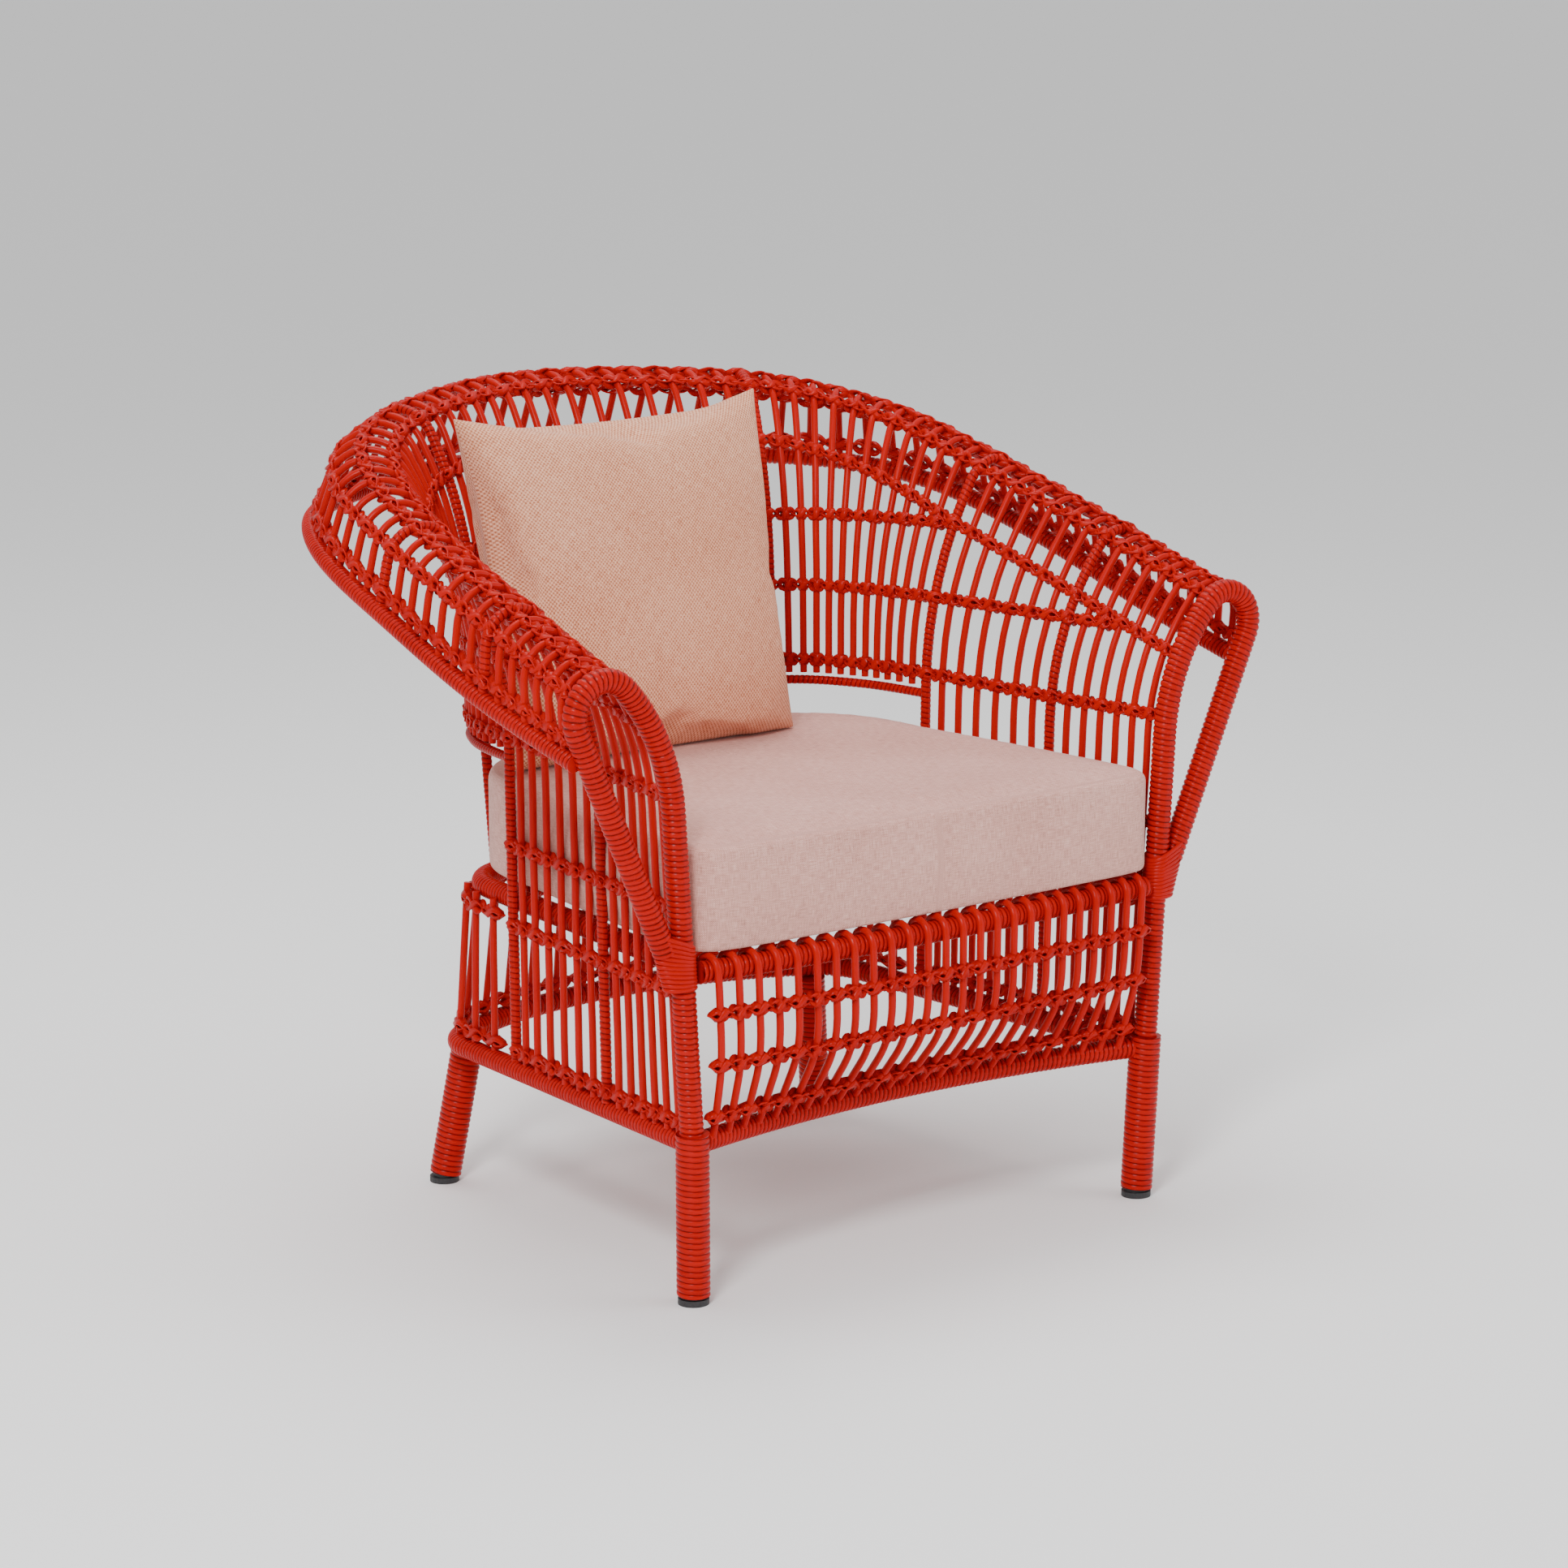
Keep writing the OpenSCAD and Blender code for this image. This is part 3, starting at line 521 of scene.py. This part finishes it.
def front_path(x):
    yr, yb = bow_y(x, SEAT_BOW), bow_y(x, BASE_BOW) - 5
    # the knee's radius k and the angle t at which it turns into the straight run
    d, h = yb - yr + FRONT_R, KNEE_Z - FRONT_LOW
    k = 0.75 * (d * d + h * h) / (2 * d)
    t = 2 * math.pi + math.atan2(-h, d - k) - math.acos(k / math.hypot(d - k, h))
    over = np.linspace(0, math.pi, LOOP_POINTS + 1)
    q = [(math.cos(a) * FRONT_R, SEAT_Z + math.sin(a) * FRONT_R) for a in over]
    for a in np.linspace(math.pi, t, 10):
        q.append((k - FRONT_R + k * math.cos(a), KNEE_Z + k * math.sin(a)))
    q.append((yb - yr, FRONT_LOW))
    lean_in = math.tan(math.radians(FRONT_LEAN * x / FRONT_ENDS[1]))
    return [np.array((x + (z - SEAT_Z) * lean_in, yr + s, z)) / 1000 for s, z in q]


def front_at(x, z):
    """x and y of a front cane at height z, in mm."""
    pts = np.array(front_path(x)[LOOP_POINTS:])[::-1] * 1000
    return [np.interp(z, pts[:, 2], pts[:, c]) for c in (0, 1)]


grow_canes("canes_front_apron", [front_path(x) for x in FRONT_X])


# rear canes: short, cut square just under the seat rail, leaning out towards the floor
REAR_FROM_Y, REAR_HALF = 345, 9.5


def ring_at(pts, u, o=0.0):
    """Point on a rail's outline, u from 0 at REAR_FROM_Y to 1 in the middle, o outside it."""
    y0 = REAR_FROM_Y
    k = next(j for j in range(len(pts)) if pts[j][1] > y0)
    a, b2 = pts[k - 1], pts[k]
    start = a + (b2 - a) * (y0 - a[1]) / (b2[1] - a[1])
    q = np.vstack([start, pts[k:]])
    d = np.r_[0, np.cumsum(np.linalg.norm(np.diff(q, axis=0), axis=1))]

    def f(w):
        return np.array([np.interp(w * d[-1], d, q[:, k]) for k in (0, 1)])
    t = f(min(1, u + 0.01)) - f(max(0, u - 0.01))
    t = t / np.linalg.norm(t)
    return f(u) + o * np.array((t[1], -t[0]))


def rear_at(u, z):
    a, b2 = ring_at(BASE_RING, u), ring_at(SEAT_RING, u, RED_TUBE + CANE_R)
    p = a + (b2 - a) * (z - BASE_Z) / (SEAT_Z - BASE_Z)
    return np.array((p[0], p[1], z)) / 1000


paths = [[rear_at(u, CANE_LOW), rear_at(u, SEAT_Z - 2)] for u in (np.arange(10) + 0.5) / REAR_HALF]
paths += [mirrored(q) for q in paths[:-1]]
grow_canes("canes_rear_apron", paths)

# ---------- Lacing
# Flat strips cross over every cane in an X on both faces and twist between the canes.
# A tree makes the four strips of a band from its path: each swings to and fro through
# the wall once every two canes and rises and falls once a cane, turning as it goes.
lace = Tree("lacing", Rise=0.0044, Width=0.0066, Thick=0.0017)
i_ = lace.inp
crv = lace.n("MeshToCurve", {0: i_["Geometry"]})[0]
t = lace.read("step")
out_v, up_v = [lace.read(k, "FLOAT_VECTOR") for k in ("outward", "upward")]
reach = lace.read("reach")
rect = lace.n("CurvePrimitiveQuadrilateral", {0: i_["Thick"], 1: i_["Width"]})[0]
strips = []
for sign, hand, lift in ((1, 1, 0.0005), (1, -1, -0.0004), (-1, 1, 0.0004), (-1, -1, -0.0005)):
    half_turn, turn = lace.m("MULTIPLY", t, math.pi), lace.m("MULTIPLY", t, 2 * math.pi)
    c, s_, s2 = lace.m("COSINE", half_turn), lace.m("SINE", half_turn), lace.m("SINE", turn)
    o = lace.m("ADD", lace.m("MULTIPLY", lace.m("MULTIPLY", c, reach), float(sign)), lift)
    w = lace.m("MULTIPLY", lace.m("MULTIPLY", s2, i_["Rise"]), float(hand))
    off = lace.v("ADD", lace.scale(out_v, o), lace.scale(up_v, w))
    nrm = lace.v("ADD", lace.scale(out_v, lace.m("MULTIPLY", c, float(sign))),
                 lace.scale(up_v, lace.m("MULTIPLY", s_, float(hand))))
    g = lace.n("SetPosition", {"Geometry": crv, "Offset": off})[0]
    g = lace.n("SetCurveNormal", {"Curve": g, "Normal": nrm}, mode="FREE")[0]
    g = lace.store(g, "len", lace.n("SplineParameter")[1])
    strips.append(lace.n("CurveToMesh", {"Curve": g, "Profile Curve": rect, "Fill Caps": True})[0])
join = lace.g.nodes.new("GeometryNodeJoinGeometry")
for g in strips:
    lace.g.links.new(g, join.inputs[0])
lace.finish(join.outputs[0])

PER = 12    # samples a cane
ATTRS = {"outward": "FLOAT_VECTOR", "upward": "FLOAT_VECTOR", "reach": "FLOAT", "step": "FLOAT"}


def lacing(name, node, runs):
    """runs: lists of (place, outward, upward, reach, cane number), PER to a cane."""
    paths = [[r[0] for r in run] for run in runs]
    attrs = {k: (kind, [r[c] for run in runs for r in run]) for c, (k, kind) in enumerate(ATTRS.items(), 1)}
    return grow(lace, name, paths, node, RED_STRIP, slot="red_strip", attrs=attrs)


def reach_at(i):
    near = min(abs(i - k) for k in (0, N1, N2, N4))
    f = max(0.0, 1 - near * 2)
    return (CANE_R + 0.7 + 2.0 * f * f * (3 - 2 * f)) / 1000


def wall_run(i0, i1, spot, both=True):
    """spot(cane) gives (s, z) and the cane's angle from upright there."""
    def pt(i, side):
        c = Cane(i, side)
        q, a = spot(c)
        return c.space(q), c.out(a), c.along(a), reach_at(i), i if side > 0 else 2 * N5 - i
    n = int(round((i1 - i0) * PER))
    half = [pt(i, 1) for i in np.linspace(i0, i1, n + 1)]
    if not both:
        return [half, [pt(i, -1) for i in np.linspace(i0, i1, n + 1)]]
    return [half[:-1] + [pt(i, -1) for i in np.linspace(i0, i1, n + 1)][::-1]]


def on_height(zf):
    def spot(c):
        z = zf(c)
        s = c.at(z)
        a = math.atan2(c.at(z + 1) - c.at(z - 1), 2)
        return (s, z), a
    return spot


def on_roll(deg):
    return lambda c: (c.roll(math.radians(deg)), math.radians(deg))


UNDER_RIDGE = 62    # this band stands so far below the crest


def find_i(z):
    """Cane number at which the band under the ridge passes height z."""
    lo, hi = 0.0, float(N5)
    for _ in range(24):
        m_ = (lo + hi) / 2
        lo, hi = (m_, hi) if Cane(m_).crest - UNDER_RIDGE < z else (lo, m_)
    return lo


def level(z):
    return on_height(lambda c: z)


FIRST = 0.3    # bands start just behind the arm hoop
for name, deg in (("ridge", 56), ("crest", 100), ("roll_outer", 148)):
    lacing("laced_" + name, "band_" + name, wall_run(FIRST, N5, on_roll(deg)))
lacing("laced_rim", "band_rim", wall_run(FIRST, N5, lambda c: (c.drop(c.rim + 20), c.end)))
below = on_height(lambda c: c.crest - UNDER_RIDGE)
for name, first, spot in (("under_ridge", FIRST, below), ("back_upper", find_i(655) + 0.4, level(655)),
                          ("back_middle", find_i(580) + 0.5, level(580)), ("belt", FIRST, level(500))):
    lacing("laced_" + name, "band_" + name, wall_run(first, N5, spot))
for name, z in (("side_upper", 390), ("side_seat", SEAT_Z - 20), ("side_foot", BASE_Z + 20)):
    lacing("laced_" + name, "bands_" + name, wall_run(FIRST, N2, level(z), both=False))


OVER_CANE = (CANE_R + 0.7) / 1000


def front_run(z):
    run = []
    for k in np.linspace(-0.5, FRONT_COUNT - 0.5, FRONT_COUNT * PER + 1):
        x0 = FRONT_ENDS[0] + (FRONT_ENDS[1] - FRONT_ENDS[0]) / (FRONT_COUNT - 1) * k
        x, y = front_at(x0, z)
        a = math.atan2(front_at(x0, z + 2)[1] - front_at(x0, z - 2)[1], 4)
        outward, upward = (0, -math.cos(a), math.sin(a)), (0, math.sin(a), math.cos(a))
        run.append((np.array((x, y, z)) / 1000, outward, upward, OVER_CANE, k))
    return [run]


for name, z in (("upper", SEAT_Z - 40), ("middle", SEAT_Z - 91), ("lower", BASE_Z + 25)):
    lacing("laced_front_" + name, "band_front_" + name, front_run(z))


def rear_run(z):
    half = []
    for k in np.linspace(-0.5, REAR_HALF - 0.5, int(REAR_HALF * PER) + 1):
        u = (k + 0.5) / REAR_HALF
        p = rear_at(u, z)
        d = rear_at(min(1, u + 0.02), z) - rear_at(max(0, u - 0.02), z)
        o = np.array((d[1], -d[0], 0)) / np.linalg.norm(d)
        w = rear_at(u, z + 5) - rear_at(u, z - 5)
        half.append((p, o, w / np.linalg.norm(w), OVER_CANE, k))
    flip, last = np.array((-1, 1, 1)), 2 * half[-1][4]
    other = [(p * flip, o * flip, w * flip, r, last - k) for p, o, w, r, k in half[:-1]][::-1]
    return [half + other]


lacing("laced_rear_upper", "band_rear_upper", rear_run(SEAT_Z - 16))
lacing("laced_rear_lower", "band_rear_lower", rear_run(BASE_Z + 20))

# ---------- Joint wraps
# Where each hoop's outer leg meets its upright, flat strips are wound round both tubes,
# level at the bottom and steeper towards the top, over the ends of the binding.
TURNS, AROUND = 12, 40
WRAP_R, WRAP_Z = 12.6, (316, 363)
SECTION = ((-2.6, -1.4), (-1.8, 0.5), (0, 1.3), (1.8, 0.5), (2.6, -1.4))    # height, lift off the tube
for side, tag in SIDES:
    verts, faces = [], []
    for k in range(TURNS):
        f = k / (TURNS - 1)
        tilt = math.radians(2 + 30 * f)
        z0 = WRAP_Z[0] + (WRAP_Z[1] - WRAP_Z[0]) * f
        past = 9 + 14 * f    # the outer leg stands so much further out
        base = len(verts)
        for j in range(AROUND):
            a = 2 * math.pi * j / AROUND
            uneven = 0.35 * math.sin(2 * a + k)
            for dz, dr in SECTION:
                s_ = math.cos(a) * (WRAP_R + dr) + max(0.0, math.cos(a)) * past
                y = math.sin(a) * (WRAP_R + dr + 1.2 * f)
                z = z0 + dz + uneven + (s_ - 12) * math.tan(tilt) * 0.62
                x = hoop.x + hoop.low(z0) + s_
                verts.append((side * x / 1000, (hoop.y + y) / 1000 - ORIGIN_Y, z / 1000))
        for j in range(AROUND):
            for c in range(len(SECTION) - 1):
                a0, a1 = [base + q % AROUND * len(SECTION) + c for q in (j, j + 1)]
                f4 = (a0, a1, a1 + 1, a0 + 1)
                faces.append(f4 if side > 0 else f4[::-1])
    me = bpy.data.meshes.new("wrap_" + tag)
    me.from_pydata(verts, [], faces)
    me.shade_smooth()
    me.materials.append(RED_STRIP)
    o = bpy.data.objects.new("wrap_" + tag, me)
    bpy.context.scene.collection.objects.link(o)
    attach(o, "frame")
    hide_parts("joint_wrap_" + tag)

# ---------- Seat cushion
# A boxed foam cushion in a fine pale weave, wide at the front and rounded at the back
# where it shows through the slot; it lies loose on the seat bars between the arms.
def weave(name, deep, mid, pale, period, contrast, bump, rough):
    mat, nt, b = nodes_of(name)
    at = add(nt, "ShaderNodeAttribute", attribute_name="cloth").outputs["Vector"]
    xyz = add(nt, "ShaderNodeSeparateXYZ", {0: at}).outputs
    waves = [calc(nt, "SINE", calc(nt, "MULTIPLY", c, 2 * math.pi / period)) for c in (xyz[0], xyz[1])]
    knit = calc(nt, "MULTIPLY_ADD", calc(nt, "MULTIPLY", *waves), 0.5, 0.5)
    # slubs: long thin noise along the warp and along the weft
    slubs = []
    for stretch in ((90.0, 1300.0, 1.0), (1300.0, 90.0, 1.0)):
        v = add(nt, "ShaderNodeVectorMath", {0: at, 1: stretch}, operation="MULTIPLY").outputs[0]
        slubs.append(noise_of(nt, v, 1.0))
    slub = calc(nt, "ADD", *slubs)
    f = calc(nt, "MULTIPLY_ADD", knit, contrast, 0.5 - contrast / 2)
    f = calc(nt, "MULTIPLY_ADD", calc(nt, "SUBTRACT", slub, 1.0), 0.8, f)
    f = calc(nt, "MULTIPLY_ADD", calc(nt, "SUBTRACT", noise_of(nt, at, 7.0), 0.5), 0.3, f)
    nt.links.new(ramp(nt, f, [(0.15, deep), (0.5, mid), (0.85, pale)]), b.inputs["Base Color"])
    b.inputs["Roughness"].default_value = rough
    b.inputs["Specular IOR Level"].default_value = 0.2
    b.inputs["Sheen Weight"].default_value = 0.12
    b.inputs["Sheen Roughness"].default_value = 0.5
    bump_on(nt, b, bump, 0.0005, calc(nt, "MULTIPLY_ADD", slub, 0.5, knit))
    return mat


def swell(name, verts, faces, pressure, cap, pin=None, slack=0.0, frames=20):
    """Places of the vertices after the cloth has swollen under inner pressure, held within cap."""
    me = bpy.data.meshes.new(name)
    me.from_pydata(verts, [], faces)
    o = bpy.data.objects.new(name, me)
    bpy.context.scene.collection.objects.link(o)
    rest = np.array([v.co[:] for v in o.data.vertices])
    if pin is not None:
        g = o.vertex_groups.new(name="pin")
        for k in np.nonzero(pin > 0)[0]:
            g.add([int(k)], float(pin[k]), "REPLACE")
    mod = o.modifiers.new("swell", "CLOTH")
    c = mod.settings
    c.quality, c.mass, c.air_damping = 6, 0.3, 2.0
    c.tension_stiffness = c.compression_stiffness = 20
    c.shear_stiffness, c.bending_stiffness = 8, 0.6
    c.shrink_min = -slack
    c.use_pressure, c.uniform_pressure_force = True, pressure
    c.effector_weights.gravity = 0
    if pin is not None:
        c.vertex_group_mass = "pin"
    mod.collision_settings.use_collision = False
    mod.point_cache.frame_start, mod.point_cache.frame_end = 1, frames
    for f in range(1, frames + 1):
        bpy.context.scene.frame_set(f)
    deps = bpy.context.evaluated_depsgraph_get()
    done = o.evaluated_get(deps)
    co = np.array([v.co[:] for v in done.data.vertices])
    o.modifiers.remove(mod)
    bpy.context.scene.frame_set(1)
    d = co - rest
    n = np.linalg.norm(d, axis=1, keepdims=True)
    rest = rest + d * np.minimum(1, cap / np.maximum(n, 1e-9))
    bpy.data.objects.remove(o)
    return rest


def finish_soft(name, verts, faces, cloth, mat, body, nodes):
    me = bpy.data.meshes.new(name)
    me.from_pydata([tuple(v) for v in verts], [], faces)
    a = me.attributes.new("cloth", "FLOAT_VECTOR", "POINT")
    a.data.foreach_set("vector", np.asarray(cloth, dtype=np.float32).ravel())
    o = bpy.data.objects.new(name, me)
    bpy.context.scene.collection.objects.link(o)
    sd = o.modifiers.new("sd", "SUBSURF")
    sd.levels = sd.render_levels = 1
    deps = bpy.context.evaluated_depsgraph_get()
    o.data = bpy.data.meshes.new_from_object(o.evaluated_get(deps))
    o.modifiers.clear()
    o.data.name = name
    o.data.shade_smooth()
    o.data.materials.clear()
    o.data.materials.append(mat)
    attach(o, body)
    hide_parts(*nodes)
    return o


def smooth_corner(pts, n):
    d = np.r_[0, np.cumsum(np.linalg.norm(np.diff(pts, axis=0), axis=1))]
    u = np.linspace(0, d[-1], n)
    return np.column_stack([np.interp(u, d, pts[:, k]) for k in range(2)])


SEAT_LOW, SEAT_TOP = 346.5, 448.0
# right half of the outline: nearly straight front, soft corner, side, then a round back
half = [(0, -25), (150, -24), (240, -21), (270, -17), (283, -8), (289, 10), (288, 60), (279, 145), (270, 215),
        (257, 300)]
for w in np.radians(np.arange(8, 91, 6.0)):
    half.append((256 * math.cos(w) ** 0.66, 310 + 176 * math.sin(w) ** 0.82))
half = smooth_corner(np.array(half), 130)
outline = np.vstack([half, half[-2:0:-1] * (-1, 1)])
nxt, prv = np.roll(outline, -1, axis=0), np.roll(outline, 1, axis=0)
tan = nxt - prv
inward = np.column_stack([-tan[:, 1], tan[:, 0]]) / np.linalg.norm(tan, axis=1, keepdims=True)
TOP_R, LOW_R = 9.0, 4.0


def rounding(r, z_edge, up, angles):
    """(inset, height) round an edge that ends at z_edge; up is 1 above and -1 below."""
    t = np.radians(angles)
    return list(zip(r * (1 - np.sin(t)), z_edge - up * r * (1 - np.cos(t))))


rings = rounding(TOP_R, SEAT_TOP, 1, (0, 30, 60, 90))
rings += [(0, z) for z in np.linspace(SEAT_TOP - TOP_R, SEAT_LOW + LOW_R, 15)[1:-1]]
rings += rounding(LOW_R, SEAT_LOW, -1, (90, 45, 0))
centre = np.array((0, 225))
verts, cloth, faces, pins = [], [], [], []
n = len(outline)
STEPS = 34
loop = np.vstack([outline, outline[:1]])
seam_len = np.r_[0, np.cumsum(np.linalg.norm(np.diff(loop, axis=0), axis=1))][:-1]


def layer(pts, z, cl, w):
    base = len(verts)
    for k, q in enumerate(pts):
        verts.append((q[0] / 1000, q[1] / 1000, z / 1000))
        cloth.append(cl(k, q))
        pins.append(w)
    return base


def flat_cloth(k, q):
    return q[0] / 1000, q[1] / 1000, 0


def wall_cloth(z):
    return lambda k, q: (seam_len[k] / 1000, z / 1000, 0)


bases = []
edge0, edge1 = [outline + inward * rings[k][0] for k in (0, -1)]
spread = [(j / STEPS) ** 0.85 for j in range(1, STEPS + 1)]
for f in spread:
    bases.append(layer(centre + (edge0 - centre) * f, SEAT_TOP, flat_cloth, 0))
for ins, z in rings[1:-1]:
    bases.append(layer(outline + inward * ins, z, wall_cloth(z), 1.0 if ins > 0.5 else 0))
for f in spread[::-1]:
    bases.append(layer(centre + (edge1 - centre) * f, SEAT_LOW, flat_cloth, 0))
for a, b2 in zip(bases[:-1], bases[1:]):
    for k in range(n):
        k2 = (k + 1) % n
        faces.append((a + k, a + k2, b2 + k2, b2 + k)[::-1])
for base, z, flip in ((bases[0], SEAT_TOP, True), (bases[-1], SEAT_LOW, False)):
    c = len(verts)
    verts.append((centre[0] / 1000, centre[1] / 1000, z / 1000))
    cloth.append((centre[0] / 1000, centre[1] / 1000, 0))
    pins.append(0)
    for k in range(n):
        f = (c, base + k, base + (k + 1) % n)
        faces.append(f if flip else f[::-1])
grip = np.array(pins) * 0.9
grip[np.array(verts)[:, 2] < (SEAT_LOW + 0.5) / 1000] = 1.0
co = swell("seat_try", verts, faces, 3.0, 0.006, grip, 0.004)
co[:, 1] -= ORIGIN_Y
SEAT_MAT = weave("seat_fabric", (0.38, 0.17, 0.135), (0.63, 0.32, 0.265), (0.82, 0.52, 0.45),
                 period=0.0021, contrast=0.3, bump=0.35, rough=0.9)
finish_soft("seat_cushion_pad", co, faces, cloth, SEAT_MAT, "seat_cushion",
            ("seat_cushion_cover", "seat_cushion_foam"))

# ---------- Back pillow
# A loose fibre-filled pillow in a coarse two-tone weave: two squares sewn edge to edge,
# so the rim is a sharp seam and the corners are pointed. It leans on the left of the back.
PW, PH, PT = 0.386, 0.360, 0.122      # width, height and thickness
PILLOW_X, PILLOW_Y, PILLOW_LEAN = -0.070, 0.358, math.radians(11)
N = 72
verts, cloth, faces = [], [], []
idx = {}
for side in (1, -1):
    for r in range(N + 1):
        for c in range(N + 1):
            edge = r in (0, N) or c in (0, N)
            if edge and side < 0:
                idx[side, r, c] = idx[1, r, c]
                continue
            u, w = 2 * c / N - 1, 2 * r / N - 1
            plump = max(0.0, (1 - abs(u) ** 2.6) * (1 - abs(w) ** 2.6)) ** 0.62
            px = u * PW / 2 * (1 - 0.034 * (1 - w * w))
            pz = w * PH / 2 * (1 - 0.034 * (1 - u * u))
            idx[side, r, c] = len(verts)
            verts.append((px, -side * plump * (PT / 2 - 0.012), pz))
            cloth.append((u * PW / 2, w * PH / 2, 0))
for side in (1, -1):
    for r in range(N):
        for c in range(N):
            f = [idx[side, r, c], idx[side, r, c + 1], idx[side, r + 1, c + 1], idx[side, r + 1, c]]
            faces.append(f if side > 0 else f[::-1])
co = swell("pillow_try", verts, faces, 4.0, 0.014, None, 0.02)
# the pillow stands on the cushion, which presses its lower edge straight
lift = {c: co[idx[1, 0, c], 2] + PH / 2 for c in range(N + 1)}
for (side, r, c), k in idx.items():
    if side > 0 or k != idx[1, r, c]:
        co[k, 2] -= lift[c] * max(0.0, 1 - 2.2 * r / N)
y, z = co[:, 1].copy(), co[:, 2] + PH / 2
co[:, 1] = PILLOW_Y + y * math.cos(PILLOW_LEAN) + z * math.sin(PILLOW_LEAN) - ORIGIN_Y
co[:, 2] = SEAT_TOP / 1000 + 0.006 + z * math.cos(PILLOW_LEAN) - y * math.sin(PILLOW_LEAN)
co[:, 0] += PILLOW_X
# the left edge leans on the curved wall: in by the belt, free again above it
left = np.clip((0.80 - co[:, 2]) / 0.34, 0, 1) * 0.012
co[:, 0] += left * np.clip((PILLOW_X - co[:, 0]) / 0.19, 0, 1)
PILLOW_MAT = weave("pillow_fabric", (0.40, 0.12, 0.05), (0.72, 0.31, 0.18), (0.90, 0.53, 0.36),
                   period=0.0042, contrast=0.75, bump=0.6, rough=0.85)
finish_soft("back_pillow_pad", co, faces, cloth, PILLOW_MAT, "back_pillow",
            ("back_pillow_cover", "back_pillow_fill"))

# ---------- Floor
me = bpy.data.meshes.new("floor")
me.from_pydata([(-80, -80, 0), (80, -80, 0), (80, 80, 0), (-80, 80, 0)], [], [(0, 1, 2, 3)])
floor = bpy.data.objects.new("floor", me)
mat, nt, b = nodes_of("floor_white")
b.inputs["Base Color"].default_value = (0.95, 0.95, 0.95, 1)
b.inputs["Roughness"].default_value = 0.9
me.materials.append(mat)
bpy.context.scene.collection.objects.link(floor)
